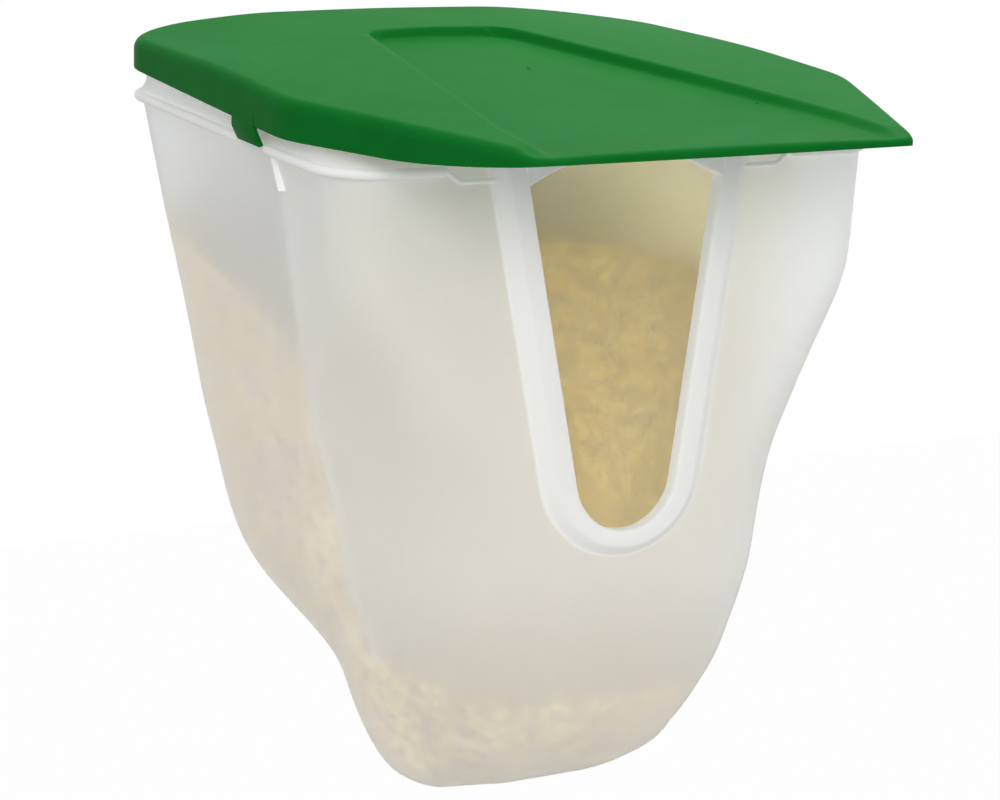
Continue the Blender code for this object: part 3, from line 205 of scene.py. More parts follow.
def filleted(corners, radii, arc_steps, line_steps):
    """An open polygon whose inner corners are arcs: a point of an arc = chord point + bulge x rise.

    The bulge is (cos a - cos h) / (1 - cos h), for a from -h to h, half of the corner's turn.
    """
    corners = np.asarray(corners, float)
    sides = np.diff(corners, axis=0)
    lengths = np.linalg.norm(sides, axis=1)
    ways = sides / lengths[:, None]
    turns = np.arccos(np.clip(np.sum(ways[:-1] * ways[1:], axis=1), -1.0, 1.0))
    half = np.maximum(0.5 * turns, 0.001)
    reach = np.asarray(radii) * np.tan(half)
    for k in range(len(reach)):
        spare = lengths[k] - (reach[k - 1] if k else 0.0)
        reach[k] = min(reach[k], 0.97 * spare, 0.49 * lengths[k + 1])
    before = corners[1:-1] - ways[:-1] * reach[:, None]
    after = corners[1:-1] + ways[1:] * reach[:, None]
    starts = np.concatenate([corners[:1], after])
    ends = np.concatenate([before, corners[-1:]])
    points = []
    for k, steps in enumerate(line_steps):
        points.append(starts[k] + np.linspace(0.0, 1.0, steps + 1)[:, None] * (ends[k] - starts[k]))
        if k < len(reach):
            h = half[k]
            a = np.linspace(-h, h, arc_steps[k] + 1)[1:-1, None]
            chord = before[k] + (0.5 + 0.5 * np.sin(a) / math.sin(h)) * (after[k] - before[k])
            bulge = (np.cos(a) - math.cos(h)) / (1.0 - math.cos(h)) * math.cos(h) / (1.0 + math.cos(h))
            points.append(chord + bulge * (corners[k + 1] - 0.5 * (before[k] + after[k])))
    return np.concatenate(points)


def front_wall(depth):
    """The front wall's outer y, which falls evenly with depth."""
    return FRAME_PROUD - FRONT_DRAFT * depth


def back_wall(depth):
    """The back wall's outer y, which falls evenly with depth."""
    return FRAME_PROUD + BODY_DEPTH - BACK_DRAFT * depth


def ellipse(depth, top):
    """An ellipse's reach, falling from 1 at its top: sqrt(1 - d^2), with d = share of drop x sin of turn."""
    d = np.clip((depth - top) / (BODY_HEIGHT - top), 0.0, 1.0) * math.sin(BOTTOM_TURN)
    return np.sqrt(1.0 - d * d)


def front_profile(depth):
    """The front's outer y: the straight wall, then a quarter of an ellipse down to the trough's bottom."""
    start = front_wall(FRONT_STRAIGHT)
    round_part = start + (TROUGH_BOTTOM_Y - start) * (1.0 - ellipse(depth, FRONT_STRAIGHT))
    return np.where(depth <= FRONT_STRAIGHT, front_wall(depth), round_part)


def back_profile(depth):
    """The back's outer y: the straight wall, a fairing over heel and floor, then the trough's ellipse."""
    ahead = BACK_STRAIGHT - 20 * MM
    knots = np.array([ahead, BACK_STRAIGHT, HEEL_DEPTH, FLOOR_FRONT_DEPTH])
    ys = np.array([back_wall(ahead), back_wall(BACK_STRAIGHT), HEEL_Y, FLOOR_FRONT_Y])
    trough = TROUGH_BOTTOM_Y + (FLOOR_FRONT_Y - TROUGH_BOTTOM_Y) * ellipse(depth, FLOOR_FRONT_DEPTH)
    under = np.where(depth <= FLOOR_FRONT_DEPTH, fairing(knots, ys, depth), trough)
    return np.where(depth <= BACK_STRAIGHT, back_wall(depth), under)


def half_outline(depth, inset=0.0):
    """The right half of the level outline at a depth: four sides with three rounded corners, moved in."""
    at_depth = (float(fairing(SHAPE_DEPTHS, table, depth)) for table in SHAPE_TABLES)
    flat, crease, setback, back, *radii = at_depth
    if depth <= APEX_DEPTH:
        crease = back = HALF_WIDTH - SIDE_DRAFT * depth
        flat = crease - CHAMFER
    neck = float(smooth((-depth - NECK_START) / (NECK_FULL - NECK_START))) * NECK_INSET
    front = float(front_profile(depth)) + neck
    rear = float(back_profile(depth)) - neck
    setback = min(setback + neck / NECK_INSET * NECK_SETBACK, 0.62 * (rear - front))
    corners = [
        (0.0, front + inset),
        (flat - neck - 0.4 * inset, front + inset),
        (crease - neck - inset, front + setback),
        (back - neck - inset, rear - inset),
        (0.0, rear - inset),
    ]
    return filleted(corners, [r - inset for r in radii], (14, 12, 14), (20, 16, 22, 16))


def raised(plan, heights):
    """A plan's points with their heights as a third value."""
    heights = np.broadcast_to(heights, plan.shape[:-1])
    return np.concatenate([plan, heights[..., None]], axis=-1)


def quads(index):
    """Four-sided faces between the neighbours in a grid of point numbers."""
    sides = np.stack([index[:-1, :-1], index[:-1, 1:], index[1:, 1:], index[1:, :-1]], axis=-1)
    return sides.reshape(-1, 4).tolist()


def tube_of(rings, caps=(True, True)):
    """A skin over rings of points, each ring joined to the next, with flat ends where asked."""
    rings = np.asarray(rings)
    index = np.arange(rings[..., 0].size).reshape(rings.shape[:2])
    faces = quads(np.column_stack([index, index[:, :1]]))
    faces += [index[end].tolist() for end, closed in zip((0, -1), caps) if closed]
    return rings.reshape(-1, 3), faces


def solid_of(name, parts):
    """One mesh from several (points, faces), welded, every closed skin turned outwards."""
    points = np.concatenate([np.asarray(p) for p, _ in parts])
    faces = []
    start = 0
    for part_points, part_faces in parts:
        faces.extend([[i + start for i in face] for face in part_faces])
        start += len(part_points)
    mesh = bpy.data.meshes.new(name)
    mesh.from_pydata(points.tolist(), [], faces)
    work = bmesh.new()
    work.from_mesh(mesh)
    bmesh.ops.remove_doubles(work, verts=work.verts, dist=0.000002)
    bmesh.ops.recalc_face_normals(work, faces=work.faces)
    work.to_mesh(mesh)
    work.free()
    return mesh


def carved(name, mesh, tool_parts, thick=0.0, inner_slot=0):
    """The mesh, thickened inwards where asked, less the tool that the parts make; the helpers go away."""
    whole = bpy.data.objects.new(name + "_whole", mesh)
    tool = bpy.data.objects.new(name + "_tool", solid_of(name + "_tool", tool_parts))
    scene.collection.objects.link(whole)
    scene.collection.objects.link(tool)
    if thick:
        skin = whole.modifiers.new("skin", "SOLIDIFY")
        skin.thickness, skin.offset, skin.material_offset = thick, -1.0, inner_slot
        skin.use_even_offset = skin.use_quality_normals = True
    cut = whole.modifiers.new("cut", "BOOLEAN")
    cut.operation, cut.solver, cut.object = "DIFFERENCE", "EXACT", tool
    bpy.context.view_layer.update()
    made = bpy.data.meshes.new_from_object(whole.evaluated_get(bpy.context.evaluated_depsgraph_get()))
    made.name = name
    bpy.data.objects.remove(whole, do_unlink=True)
    bpy.data.objects.remove(tool, do_unlink=True)
    return made


def piece(name, made, plastic, slot, body, *nodes, sharp=35.0):
    """Puts a mesh or a list of parts in the scene at the origin, riding on a body, standing for CAD nodes."""
    mesh = solid_of(name, made) if isinstance(made, list) else made
    mesh.shade_smooth()
    mesh.set_sharp_from_angle(angle=math.radians(sharp))
    if not mesh.materials:
        mesh.materials.append(plastic)
    obj = bpy.data.objects.new(name, mesh)
    scene.collection.objects.link(obj)
    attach(obj, body)
    for node in nodes:
        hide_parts(node)
    return obj


def noise(tree, scale, detail, roughness, distortion=0.0):
    """Noise in the piece's own coordinates, at this many bumps to the metre."""
    values = {"Scale": scale, "Detail": detail, "Roughness": roughness, "Distortion": distortion}
    where = new_node(tree, "TexCoord").outputs["Object"]
    return new_node(tree, "TexNoise", values, {"Vector": where}).outputs["Fac"]


def mapped(tree, value, low, high, out_low, out_high):
    """Straight-line change of a value from one range to another, held at both ends."""
    values = {"From Min": low, "From Max": high, "To Min": out_low, "To Max": out_high}
    return new_node(tree, "MapRange", values, {"Value": value}).outputs["Result"]


def ramp_of(tree, value, *stops):
    """Colours along a value: (place, colour) pairs with straight mixing between them."""
    ramp = new_node(tree, "ValToRGB", links={"Fac": value})
    elements = ramp.color_ramp.elements
    while len(elements) < len(stops):
        elements.new(0.5)
    for element, (place, colour) in zip(elements, stops):
        element.position = place
        element.color = (*colour, 1.0)
    return ramp.outputs["Color"]


def bumped(tree, shader, height, distance, strength, under=None):
    """Adds a bump of this height to a shader's normal, over an earlier bump if there is one."""
    links = {"Height": height, "Normal": under} if under else {"Height": height}
    normal = new_node(tree, "Bump", {"Strength": strength, "Distance": distance}, links).outputs["Normal"]
    tree.links.new(normal, shader.inputs["Normal"])
    return normal


def moulded_plastic(name, pale_colour, deep_colour, rough, grain, clear=0.0, ior=1.49, gloss=0.5, glow=0.0):
    """Moulded polypropylene: faint flow marks and haze in its colour, an even fine grain on its skin.

    Colour = a ramp over wide noise; roughness = rough +- 0.05 over fine noise; normal = fine noise bump.
    Emission = glow x near-white: painted light, a glow that stands in for light scattered inside the plastic.
    """
    values = {"IOR": ior, "Transmission Weight": clear, "Specular IOR Level": gloss}
    values.update({"Emission Color": (0.99, 0.99, 0.985, 1.0), "Emission Strength": glow})
    made, tree, shader = material(name, values)
    flow = noise(tree, 26.0, 4.0, 0.55, 0.8)
    colour = ramp_of(tree, flow, (0.35, deep_colour), (0.65, pale_colour))
    tree.links.new(colour, shader.inputs["Base Color"])
    fine = noise(tree, 1700.0, 2.0, 0.6)
    tree.links.new(mapped(tree, fine, 0.3, 0.7, rough - 0.05, rough + 0.05), shader.inputs["Roughness"])
    wide = bumped(tree, shader, noise(tree, 55.0, 2.0, 0.4), 0.0004, 0.25)
    bumped(tree, shader, fine, 0.00018, grain, wide)
    return made


# Both milky materials glow faintly (0.11 outside, 0.04 inside): painted light for the light that the milky
# wall scatters.
milk = (0.97, 0.985, 1.0), (0.955, 0.97, 0.985)
milky = moulded_plastic("milky_polypropylene", *milk, rough=0.75, grain=0.35, clear=0.45, ior=1.28, glow=0.11)
inner = (0.99, 0.99, 0.98), (0.98, 0.98, 0.965)
milky_inside = moulded_plastic(
    "milky_polypropylene_inside", *inner, rough=0.7, grain=0.35, clear=1.0, ior=1.28, glow=0.04
)

rim_rows = np.arange(-NECK_HEIGHT, -3.4 * MM, 1 * MM)
wall_rows = np.arange(-3 * MM, 196.1 * MM, 2 * MM)
turns = np.linspace(0.0, BOTTOM_TURN, 27)[1:]
trough_rows = wall_rows[-1] + (BODY_HEIGHT - wall_rows[-1]) * np.sin(turns) / math.sin(BOTTOM_TURN)
depths = np.concatenate([rim_rows, wall_rows, trough_rows])


def softened(rows):
    """Each row mixed with its neighbours by a bell curve, 7 mm wide in the middle and narrow at the ends."""
    spacing = np.gradient(depths)
    width = 7 * MM * smooth((depths - 25 * MM) / (30 * MM)) * smooth((BODY_HEIGHT - depths) / (40 * MM))
    width = np.maximum(width, 0.3 * MM)
    weight = np.exp(-0.5 * ((depths[:, None] - depths[None, :]) / width[:, None]) ** 2) * spacing[None, :]
    weight /= weight.sum(axis=1, keepdims=True)
    return np.einsum("ij,jkl->ikl", weight, rows)


halves = softened(np.stack([half_outline(d) for d in depths]))
loops = np.concatenate([halves, (halves * np.array([-1.0, 1.0]))[:, -2:0:-1]], axis=1)
wall_grid = raised(loops, -depths[:, None])

SLOT_RADIUS = 22.7 * MM
SLOT_CENTRE = 121.9 * MM
SLOT_TAPER = math.radians(9.62)
SLOT_CORNER = 5.5 * MM
SLOT_CROWN = 11.5 * MM
FRAME_TOP = 7.5 * MM


def on_front(drawing):
    """(x, depth along the wall, rise) to the rim's frame: the wall leans by its draft."""
    lean = math.atan(FRONT_DRAFT)
    down = np.array([0.0, -math.sin(lean), -math.cos(lean)])
    out = np.array([0.0, -math.cos(lean), math.sin(lean)])
    drawing = np.asarray(drawing)
    return drawing @ np.array([[1.0, 0.0, 0.0], down, out]) + np.array([0.0, FRAME_PROUD, 0.0])


def slot_half(depth):
    """Half the slot's width at a depth: radius / cos taper + (centre - depth) x tan taper."""
    return SLOT_RADIUS / math.cos(SLOT_TAPER) + (SLOT_CENTRE - depth) * math.tan(SLOT_TAPER)


def slot_edge(top, offsets, foot_share=1.0):
    """U outlines round the slot, one for each offset: two leaning sides and an arc, moved outwards.

    Arc point = centre + (radius + offset x share) x (cos a, sin a); the share falls to foot_share below.
    """
    offsets = np.atleast_1d(offsets)[:, None, None]
    angles = np.linspace(SLOT_TAPER, math.pi - SLOT_TAPER, 49)
    ways = np.column_stack([np.cos(angles), np.sin(angles)])[None]
    hump = np.sin((angles - angles[0]) / (angles[-1] - angles[0]) * math.pi)[None, :, None]
    arc = np.array([0.0, SLOT_CENTRE]) + (SLOT_RADIUS + offsets * (1.0 + (foot_share - 1.0) * hump)) * ways
    start_x = slot_half(top) + offsets[..., 0] / math.cos(SLOT_TAPER)
    start = np.stack([start_x, np.full_like(start_x, top)], axis=-1)
    share = np.linspace(0.0, 1.0, 31)[:-1][None, :, None]
    side = start + share * (arc[:, :1] - start)
    return np.concatenate([side, arc, side[:, ::-1] * np.array([-1.0, 1.0])], axis=1)


def slot_arch(x, half):
    """The slot's arched top: depth = corner depth - crown x (1 - (x / half)^2)."""
    return SLOT_CORNER - SLOT_CROWN * (1.0 - (x / half) ** 2)


cut_back = 0.8 * MM
cut = slot_edge(SLOT_CORNER, cut_back)[0]
cut_x = np.linspace(-cut[0, 0], cut[0, 0], 40)[1:-1]
cut = np.concatenate([cut, np.column_stack([cut_x, slot_arch(cut_x, cut[0, 0]) - cut_back])])
cutter_rings = np.stack([raised(cut, rise) for rise in (-5.0 * WALL, 3.0 * WALL)])
wall_mesh = solid_of("hopper_outer_face", [tube_of(hung(wall_grid), (False, True))])
wall_mesh.materials.append(milky)
wall_mesh.materials.append(milky_inside)
wall_mesh = carved("hopper_wall", wall_mesh, [tube_of(hung(on_front(cutter_rings)))], WALL, 1)
piece("hopper_wall", wall_mesh, milky, "milky_plastic", "hopper", "body")

# The raised frame round the feeding slot.
# Moulded with the wall: a broad rounded rail, 4.6 mm proud, that stiffens the slot's edge and gives the
# birds a smooth edge to reach over. A thick header closes it above the slot's arched top.
FRAME_LAND = 7 * MM
FRAME_FOOT = 14.3 * MM
EDGE_ROUND = 1.3 * MM
LOW_ROUND = 0.5 * MM
INNER_LIP = 1.6 * MM
HEADER_OVER, HEADER_SUNK = 1.2 * MM, 0.15 * MM
quarter = np.linspace(0.0, 0.5 * math.pi, 8)
round_in = np.column_stack([1.0 - np.cos(quarter), np.sin(quarter) - 1.0]) * EDGE_ROUND + [0.0, FRAME_PROUD]
low_round = np.column_stack([1.0 - np.sin(quarter), 1.0 - np.cos(quarter)]) * LOW_ROUND - [0.0, WALL]
slope = np.linspace(0.0, 1.0, 20)
round_out = np.column_stack(
    [FRAME_LAND + (FRAME_FOOT - FRAME_LAND) * slope, FRAME_PROUD * (1.0 - smooth(slope) ** 1.15)]
)
deep = -0.6 * WALL
inner_foot = [(INNER_LIP, deep), (INNER_LIP, -WALL)]
profile = np.concatenate([inner_foot, low_round, round_in, round_out, [(FRAME_FOOT, deep)]])
frame_lines = raised(slot_edge(-FRAME_TOP, profile[:, 0], 0.8), profile[:, 1:])
frame_part = tube_of(hung(on_front(frame_lines.transpose(1, 0, 2))))

half_top = slot_half(SLOT_CORNER)
header_x = np.linspace(-1.0, 1.0, 61) * (half_top + HEADER_OVER)
arch = slot_arch(header_x, half_top)
flat_top = np.full_like(arch, -FRAME_TOP)
header_lines = [(arch - o, r - HEADER_SUNK) for o, r in round_in]
header_lines += [(flat_top, header_lines[-1][1]), (flat_top, -WALL)]
header_lines += [(arch - LOW_ROUND, -WALL), (arch, -WALL + LOW_ROUND)]
header_rows = [np.column_stack([header_x, depth, np.full_like(arch, rise)]) for depth, rise in header_lines]
header_part = tube_of(hung(on_front(np.stack(header_rows, axis=1))))
# The rails' glow of 0.09 is painted light for the light that the thick milky plastic scatters.
rails = (0.985, 0.98, 0.96), (0.965, 0.96, 0.94)
milky_rails = moulded_plastic(
    "milky_polypropylene_rails", *rails, rough=0.6, grain=0.35, clear=0.24, ior=1.28, glow=0.09
)
piece("slot_frame", [frame_part, header_part], milky_rails, "milky_plastic", "hopper", "body")

# The rim bead with its ledges and ribs, and the hinge bar.
# Moulded with the hopper: a round bead under the neck that the lid's tongues hook past, a thin ledge
# beside the frame, a slanted rib under the bead, and a bar on three ears behind the neck for the lid.
BEAD_RADIUS = 2 * MM
BEAD_PROUD = 3.5 * MM
BEAD_END = 79 * MM
NOTCH = (66.7 * MM, 92.3 * MM)
LEDGE_RADIUS = 1 * MM
LEDGE_DEPTH = 2.6 * MM
LEDGE_CORNER = 71 * MM
LEDGE_GAP = 8.7 * MM
HINGE = np.array([0.0, 235 * MM, 20.5 * MM])
BAR_RADIUS = 2.5 * MM
EAR_RADIUS, EAR_THICK, EAR_SPACING = 4 * MM, 4 * MM, 58 * MM


def run_along(path):
    """The length of the path up to each of its points."""
    return np.concatenate([[0.0], np.cumsum(np.linalg.norm(np.diff(path, axis=0), axis=1))])


def spaced(path, least):
    """The path without the points that lie nearer than this to the one before."""
    return path[np.concatenate([[True], np.diff(run_along(path)) > least])]


def rod(path, radius, up, steps, rounded=0.9):
    """A round bar: point = path + r (cos a x side + sin a x upright), the ends closing like a dome."""
    path = np.asarray(path, float)
    ahead = np.gradient(path, axis=0)
    ahead /= np.linalg.norm(ahead, axis=1)[:, None]
    dome = np.linspace(0.0, 0.45 * math.pi, 5)[1:]
    bulge = (radius * rounded * np.sin(dome))[:, None]
    path = np.concatenate([path[0] - (bulge * ahead[0])[::-1], path, path[-1] + bulge * ahead[-1]])
    size = np.concatenate([np.cos(dome)[::-1], np.ones(len(ahead)), np.cos(dome)]) * radius
    ahead = np.concatenate([ahead[:1].repeat(len(dome), 0), ahead, ahead[-1:].repeat(len(dome), 0)])
    side = np.cross(ahead, up)
    side /= np.linalg.norm(side, axis=1)[:, None]
    upright = np.cross(side, ahead)
    a = np.linspace(0.0, 2.0 * math.pi, steps, endpoint=False)[None, :, None]
    rings = path[:, None] + size[:, None, None] * (np.cos(a) * side[:, None] + np.sin(a) * upright[:, None])
    return tube_of(rings)


def plate(outline, thickness, place, rounding=0.4 * MM):
    """A flat outline, this thick about its plane, sharp edges rounded by Bevel, placed by a matrix.

    Its faces are sorted, each from its lowest point number, so that every run gives the same order.
    """
    work = bmesh.new()
    low = [work.verts.new((u, v, -0.5 * thickness)) for u, v in outline]
    grown = bmesh.ops.extrude_face_region(work, geom=[work.faces.new(low)])
    top = [v for v in grown["geom"] if isinstance(v, bmesh.types.BMVert)]
    bmesh.ops.translate(work, vec=(0.0, 0.0, thickness), verts=top)
    bmesh.ops.recalc_face_normals(work, faces=work.faces)
    if rounding:
        sharp = [e for e in work.edges if e.calc_face_angle(0.0) > 0.6]
        round_off = {"offset": rounding, "segments": 2, "profile": 0.5, "clamp_overlap": True}
        bmesh.ops.bevel(work, geom=sharp, affect="EDGES", **round_off)
    work.verts.index_update()
    points = np.array([place @ v.co for v in work.verts])
    faces = [[v.index for v in face.verts] for face in work.faces]
    starts = [face.index(min(face)) for face in faces]
    work.free()
    return points, sorted(face[k:] + face[:k] for face, k in zip(faces, starts))


def oblong(u0, u1, v0, v1):
    """The four corners of a rectangle in a drawing."""
    return [(u0, v0), (u1, v0), (u1, v1), (u0, v1)]


def round_bar(radius, angles):
    """The (y, z) of points at these angles on a circle about the hinge bar."""
    return [(HINGE[1] + radius * math.cos(a), HINGE[2] + radius * math.sin(a)) for a in angles]


def across_x(x=0.0):
    """Carries a drawing's (u, v) to (y, z) in a plane square to x."""
    return Matrix(((0, 0, 1, x), (1, 0, 0, 0), (0, 1, 0, 0), (0, 0, 0, 1)))


def across_y(y=0.0):
    """Carries a drawing's (u, v) to (x, z) in a plane square to y."""
    return Matrix(((1, 0, 0, 0), (0, 0, -1, y), (0, 1, 0, 0), (0, 0, 0, 1)))


def in_rim(parts):
    """Parts drawn in the rim's frame, hung in their place."""
    return [(hung(points), faces) for points, faces in parts]


mirror_x = np.array([-1.0, 1.0, 1.0])
around = half_outline(-BEAD_RADIUS, BEAD_RADIUS - BEAD_PROUD)
bead = spaced(raised(around, BEAD_RADIUS), 0.2 * MM)
front_run = bead[((bead[:, 0] > BEAD_END) | (bead[:, 1] > 0.5 * NOTCH[0])) & (bead[:, 1] < NOTCH[0])]
front_run = np.concatenate([[(BEAD_END, around[0, 1], BEAD_RADIUS)], front_run])
back_run = bead[bead[:, 1] > NOTCH[1]]
back_run = np.concatenate([back_run, (back_run * mirror_x)[-2::-1]])
upright = np.array([0.0, 0.0, 1.0])
rim_parts = [rod(run, BEAD_RADIUS, upright, 20) for run in (front_run, front_run * mirror_x, back_run)]
ledge = [(BEAD_END - BEAD_RADIUS, -BEAD_RADIUS), (LEDGE_CORNER, LEDGE_DEPTH)]
ledge.append((slot_half(LEDGE_DEPTH) + LEDGE_GAP, LEDGE_DEPTH))
ledge = spaced(filleted(ledge, (3 * MM,), (6,), (6, 8)), 0.05 * MM)
ledge_path = on_front(raised(ledge, 0.2 * LEDGE_RADIUS))
forward = np.array([0.0, -1.0, 0.0])
rim_parts += [rod(path, LEDGE_RADIUS, forward, 12) for path in (ledge_path * mirror_x, ledge_path)]
RIB_Y, RIB_DEPTH, RIB_PROUD, RIB_LONG = 59.65 * MM, 6.85 * MM, 0.75 * MM, 14 * MM
rib = oblong(-1.75 * MM, 1.75 * MM, -0.8 * MM, 0.8 * MM)
rib_turn = Matrix.Rotation(math.atan2(-7.7, 11.7), 4, "X")
rib_x = HALF_WIDTH - SIDE_DRAFT * RIB_DEPTH + RIB_PROUD
for x in (-rib_x, rib_x):
    rim_parts.append(plate(rib, RIB_LONG, Matrix.Translation((x, RIB_Y, -RIB_DEPTH)) @ rib_turn))
bar_x = np.linspace(-EAR_SPACING, EAR_SPACING, 24)
rim_parts.append(rod(HINGE + bar_x[:, None] * np.array([1.0, 0.0, 0.0]), BAR_RADIUS, upright, 24, 0.1))
ear = [(float(back_wall(2 * MM)) - 0.5 * WALL, -2 * MM)]
ear += round_bar(EAR_RADIUS, np.radians(np.linspace(-50.0, 160.0, 14)))
ear += [(float(back_wall(-13.5 * MM)) - NECK_INSET - 0.5 * WALL, 13.5 * MM)]
rim_parts += [plate(ear, EAR_THICK, across_x(x)) for x in (-EAR_SPACING, 0.0, EAR_SPACING)]
piece("rim_bead_and_hinge_bar", in_rim(rim_parts), milky_rails, "milky_plastic", "hopper", "body")

# The hanger at the back, and the baffle's grooves inside.
# Moulded with the hopper: a hooked rail with three gussets that drops into the wall bracket, two ribs
# that stand the foot off the wall, and two ribs and a stop inside each side wall that hold the baffle.
STAND_OFF = 21 * MM
BACK_FACE = -STAND_OFF - 0.5 * WALL
HOOK_FRONT, HOOK_BACK, HOOK_LOW = -6.5 * MM, -4 * MM, -8.7 * MM
RAIL_LOW, RAIL_TOP = 0.3 * MM, 2.8 * MM
rail = [(BACK_FACE, RAIL_LOW), (HOOK_FRONT, RAIL_LOW), (HOOK_FRONT, HOOK_LOW)]
rail += [(HOOK_BACK, HOOK_LOW), (HOOK_BACK, RAIL_TOP), (BACK_FACE, RAIL_TOP)]
RAIL_LONG, GUSSET_THICK, GUSSET_TOP = 68 * MM, 2.5 * MM, 13.3 * MM
FOOT_THICK, FOOT_X = 2.4 * MM, 45 * MM
hanger_parts = [plate(rail, RAIL_LONG, across_x())]
gusset = [(BACK_FACE, 1.5 * MM), (HOOK_FRONT, 1.5 * MM), (BACK_FACE, GUSSET_TOP)]
gusset_x = 0.5 * (RAIL_LONG - GUSSET_THICK)
hanger_parts += [plate(gusset, GUSSET_THICK, across_x(x)) for x in (-gusset_x, 0.0, gusset_x)]
foot = [(BACK_FACE, -114 * MM), (-0.3 * MM, -124.5 * MM), (-0.3 * MM, -138.7 * MM), (BACK_FACE, -145 * MM)]
hanger_parts += [plate(foot, FOOT_THICK, across_x(x)) for x in (-FOOT_X, FOOT_X)]
piece("hanger_rail", hanger_parts, milky_rails, "milky_plastic", "hopper", "body")


def baffle_y(depth):
    """The baffle's middle plane, which leans forward with depth."""
    return 63.5 * MM - 0.075 * depth


def inner_half(depth, y, inset=WALL):
    """Half of the inner width at depths and ys: the softened wall's, mixed from the two nearest rows."""
    k = np.clip(np.searchsorted(depths, depth), 1, len(depths) - 1)
    share = ((depth - depths[k - 1]) / (depths[k] - depths[k - 1]))[:, None, None]
    outlines = halves[k - 1] + share * (halves[k] - halves[k - 1])
    before = np.clip(np.sum(outlines[..., 1] <= y[:, None], axis=1) - 1, 0, outlines.shape[1] - 2)
    row = np.arange(len(outlines))
    (x0, y0), (x1, y1) = outlines[row, before].T, outlines[row, before + 1].T
    part = np.clip((y - y0) / np.maximum(y1 - y0, 1e-12), 0.0, 1.0)
    return x0 + part * (x1 - x0) - inset


groove_parts = []
for near, far, top, bottom, count in (
    (-2.6 * MM, -1.1 * MM, 12 * MM, 206.2 * MM, 40),
    (1.1 * MM, 2.6 * MM, 12 * MM, 206.2 * MM, 40),
    (-2 * MM, 2 * MM, 206.3 * MM, 208.8 * MM, 3),
):
    rows = np.linspace(top, bottom, count)
    wall_x = inner_half(rows, baffle_y(rows) + 0.5 * (near + far))
    tip, high, low = 0.5 * MM, 3 * MM, -0.6 * MM
    corners = ((high, near + tip), (high - tip, near), (low, near))
    corners += ((low, far), (high - tip, far), (high, far - tip))
    for side in (-1.0, 1.0):
        rings = [np.column_stack([side * (wall_x - u), baffle_y(rows) + v, -rows]) for u, v in corners]
        groove_parts.append(tube_of(np.stack(rings, axis=1)))
piece("baffle_grooves", in_rim(groove_parts), milky_inside, "milky_plastic", "hopper", "body")

# The lid.
# A green polypropylene moulding, 2 mm thick: a crowned top with a wide sunk channel that runs out to the
# lip of a visor, a skirt round it, two snap tongues, six rests on the neck, two clips on the bar, and the
# marks of two gates.
LID_HALF = 128.7 * MM
LID_BACK_Y = 235.5 * MM
SHOULDER_Y = 40 * MM
VISOR_HALF = 82.6 * MM
VISOR_Y = -72.5 * MM
LIP_ROUND = 2.3 * MM
CHANNEL_END = 172 * MM
BANK = 6
COLUMNS = 26
ROWS = 56
SIDE_COLUMNS = 22
REAR_ROWS = 22
LIP_STEPS, TURN_STEPS, SIDE_STEPS, END_STEPS = 8, 4, 44, 12
CHANNEL_LIP_HALF = 77.5 * MM


def crest(x, y):
    """The top's height: 27.5 mm + 4.2% of y - a crown in y^2 and in x^2, dipping at nose and rear corners."""
    ahead = y - 30.7 * MM
    height = 27.5 * MM + 0.042 * ahead - 0.05 * ahead**2 - 0.12 * x**2
    nose = 2.3 * MM * smooth((VISOR_Y + 12 * MM - y) / (12 * MM))
    corner = 4 * MM * smooth((np.abs(x) - 50 * MM) / (79 * MM)) * smooth((y - 90 * MM) / (145 * MM))
    return height - nose - corner


def channel_floor(x, y):
    """The channel floor's height, which rises 3.6% of y from the lip, where it is arched by 1.2 mm."""
    ahead = y - VISOR_Y
    arch = 1.2 * MM * (1.0 - (x / CHANNEL_LIP_HALF) ** 2) * (1.0 - smooth(ahead / (45 * MM)))
    return 19.4 * MM + 0.036 * ahead + np.maximum(arch, 0.0)


def skirt_low(y):
    """The skirt's lower edge: nearly level along the sides, and curving up to the lip in front."""
    side = 10.3 * MM + 0.03 * np.maximum(y - SHOULDER_Y, 0.0)
    share = np.clip((-10 * MM - y) / (-10 * MM - VISOR_Y), 0.0, 1.0)
    return side + 6.45 * MM * share**1.6


def channel_edge(inset_front, inset_back, radius):
    """The channel's right half from the lip to the middle of its rounded end, moved in by the insets."""
    wide = 76 * MM - inset_front
    end_y = CHANNEL_END - inset_back
    narrow = 69 * MM - 0.2 * end_y - inset_back
    corners = [(CHANNEL_LIP_HALF - inset_front, VISOR_Y + LIP_ROUND), (wide, -35 * MM), (narrow, end_y)]
    corners += [(0.0, end_y + 3 * MM)]
    line_steps = (LIP_STEPS, SIDE_STEPS, COLUMNS - END_STEPS // 2)
    return filleted(corners, (30 * MM, radius), (TURN_STEPS, END_STEPS), line_steps)


def ruled(first, last, low, high):
    """A grid between four curves: the two rulings less the bilinear part through the corners."""
    u = np.linspace(0.0, 1.0, len(first))[None, :, None]
    v = np.linspace(0.0, 1.0, len(low))[:, None, None]
    across = (1 - v) * first[None] + v * last[None]
    up = (1 - u) * low[:, None] + u * high[:, None]
    corners = (1 - v) * ((1 - u) * first[0] + u * first[-1]) + v * ((1 - u) * last[0] + u * last[-1])
    return across + up - corners


def line(a, b, steps):
    """Evenly spaced points from a to b."""
    return np.asarray(a) + np.linspace(0.0, 1.0, steps + 1)[:, None] * (np.asarray(b) - np.asarray(a))


def placed(at, run, path):
    """The path's values at these lengths, straight between its points."""
    return np.column_stack([np.interp(at, run, column) for column in path.T])


def stepped(knots, counts):
    """Places from the first knot to the last, with this many even steps from each knot to the next."""
    spans = [np.linspace(a, b, count + 1)[1:] for a, b, count in zip(knots, knots[1:], counts)]
    return np.concatenate([knots[:1], *spans])


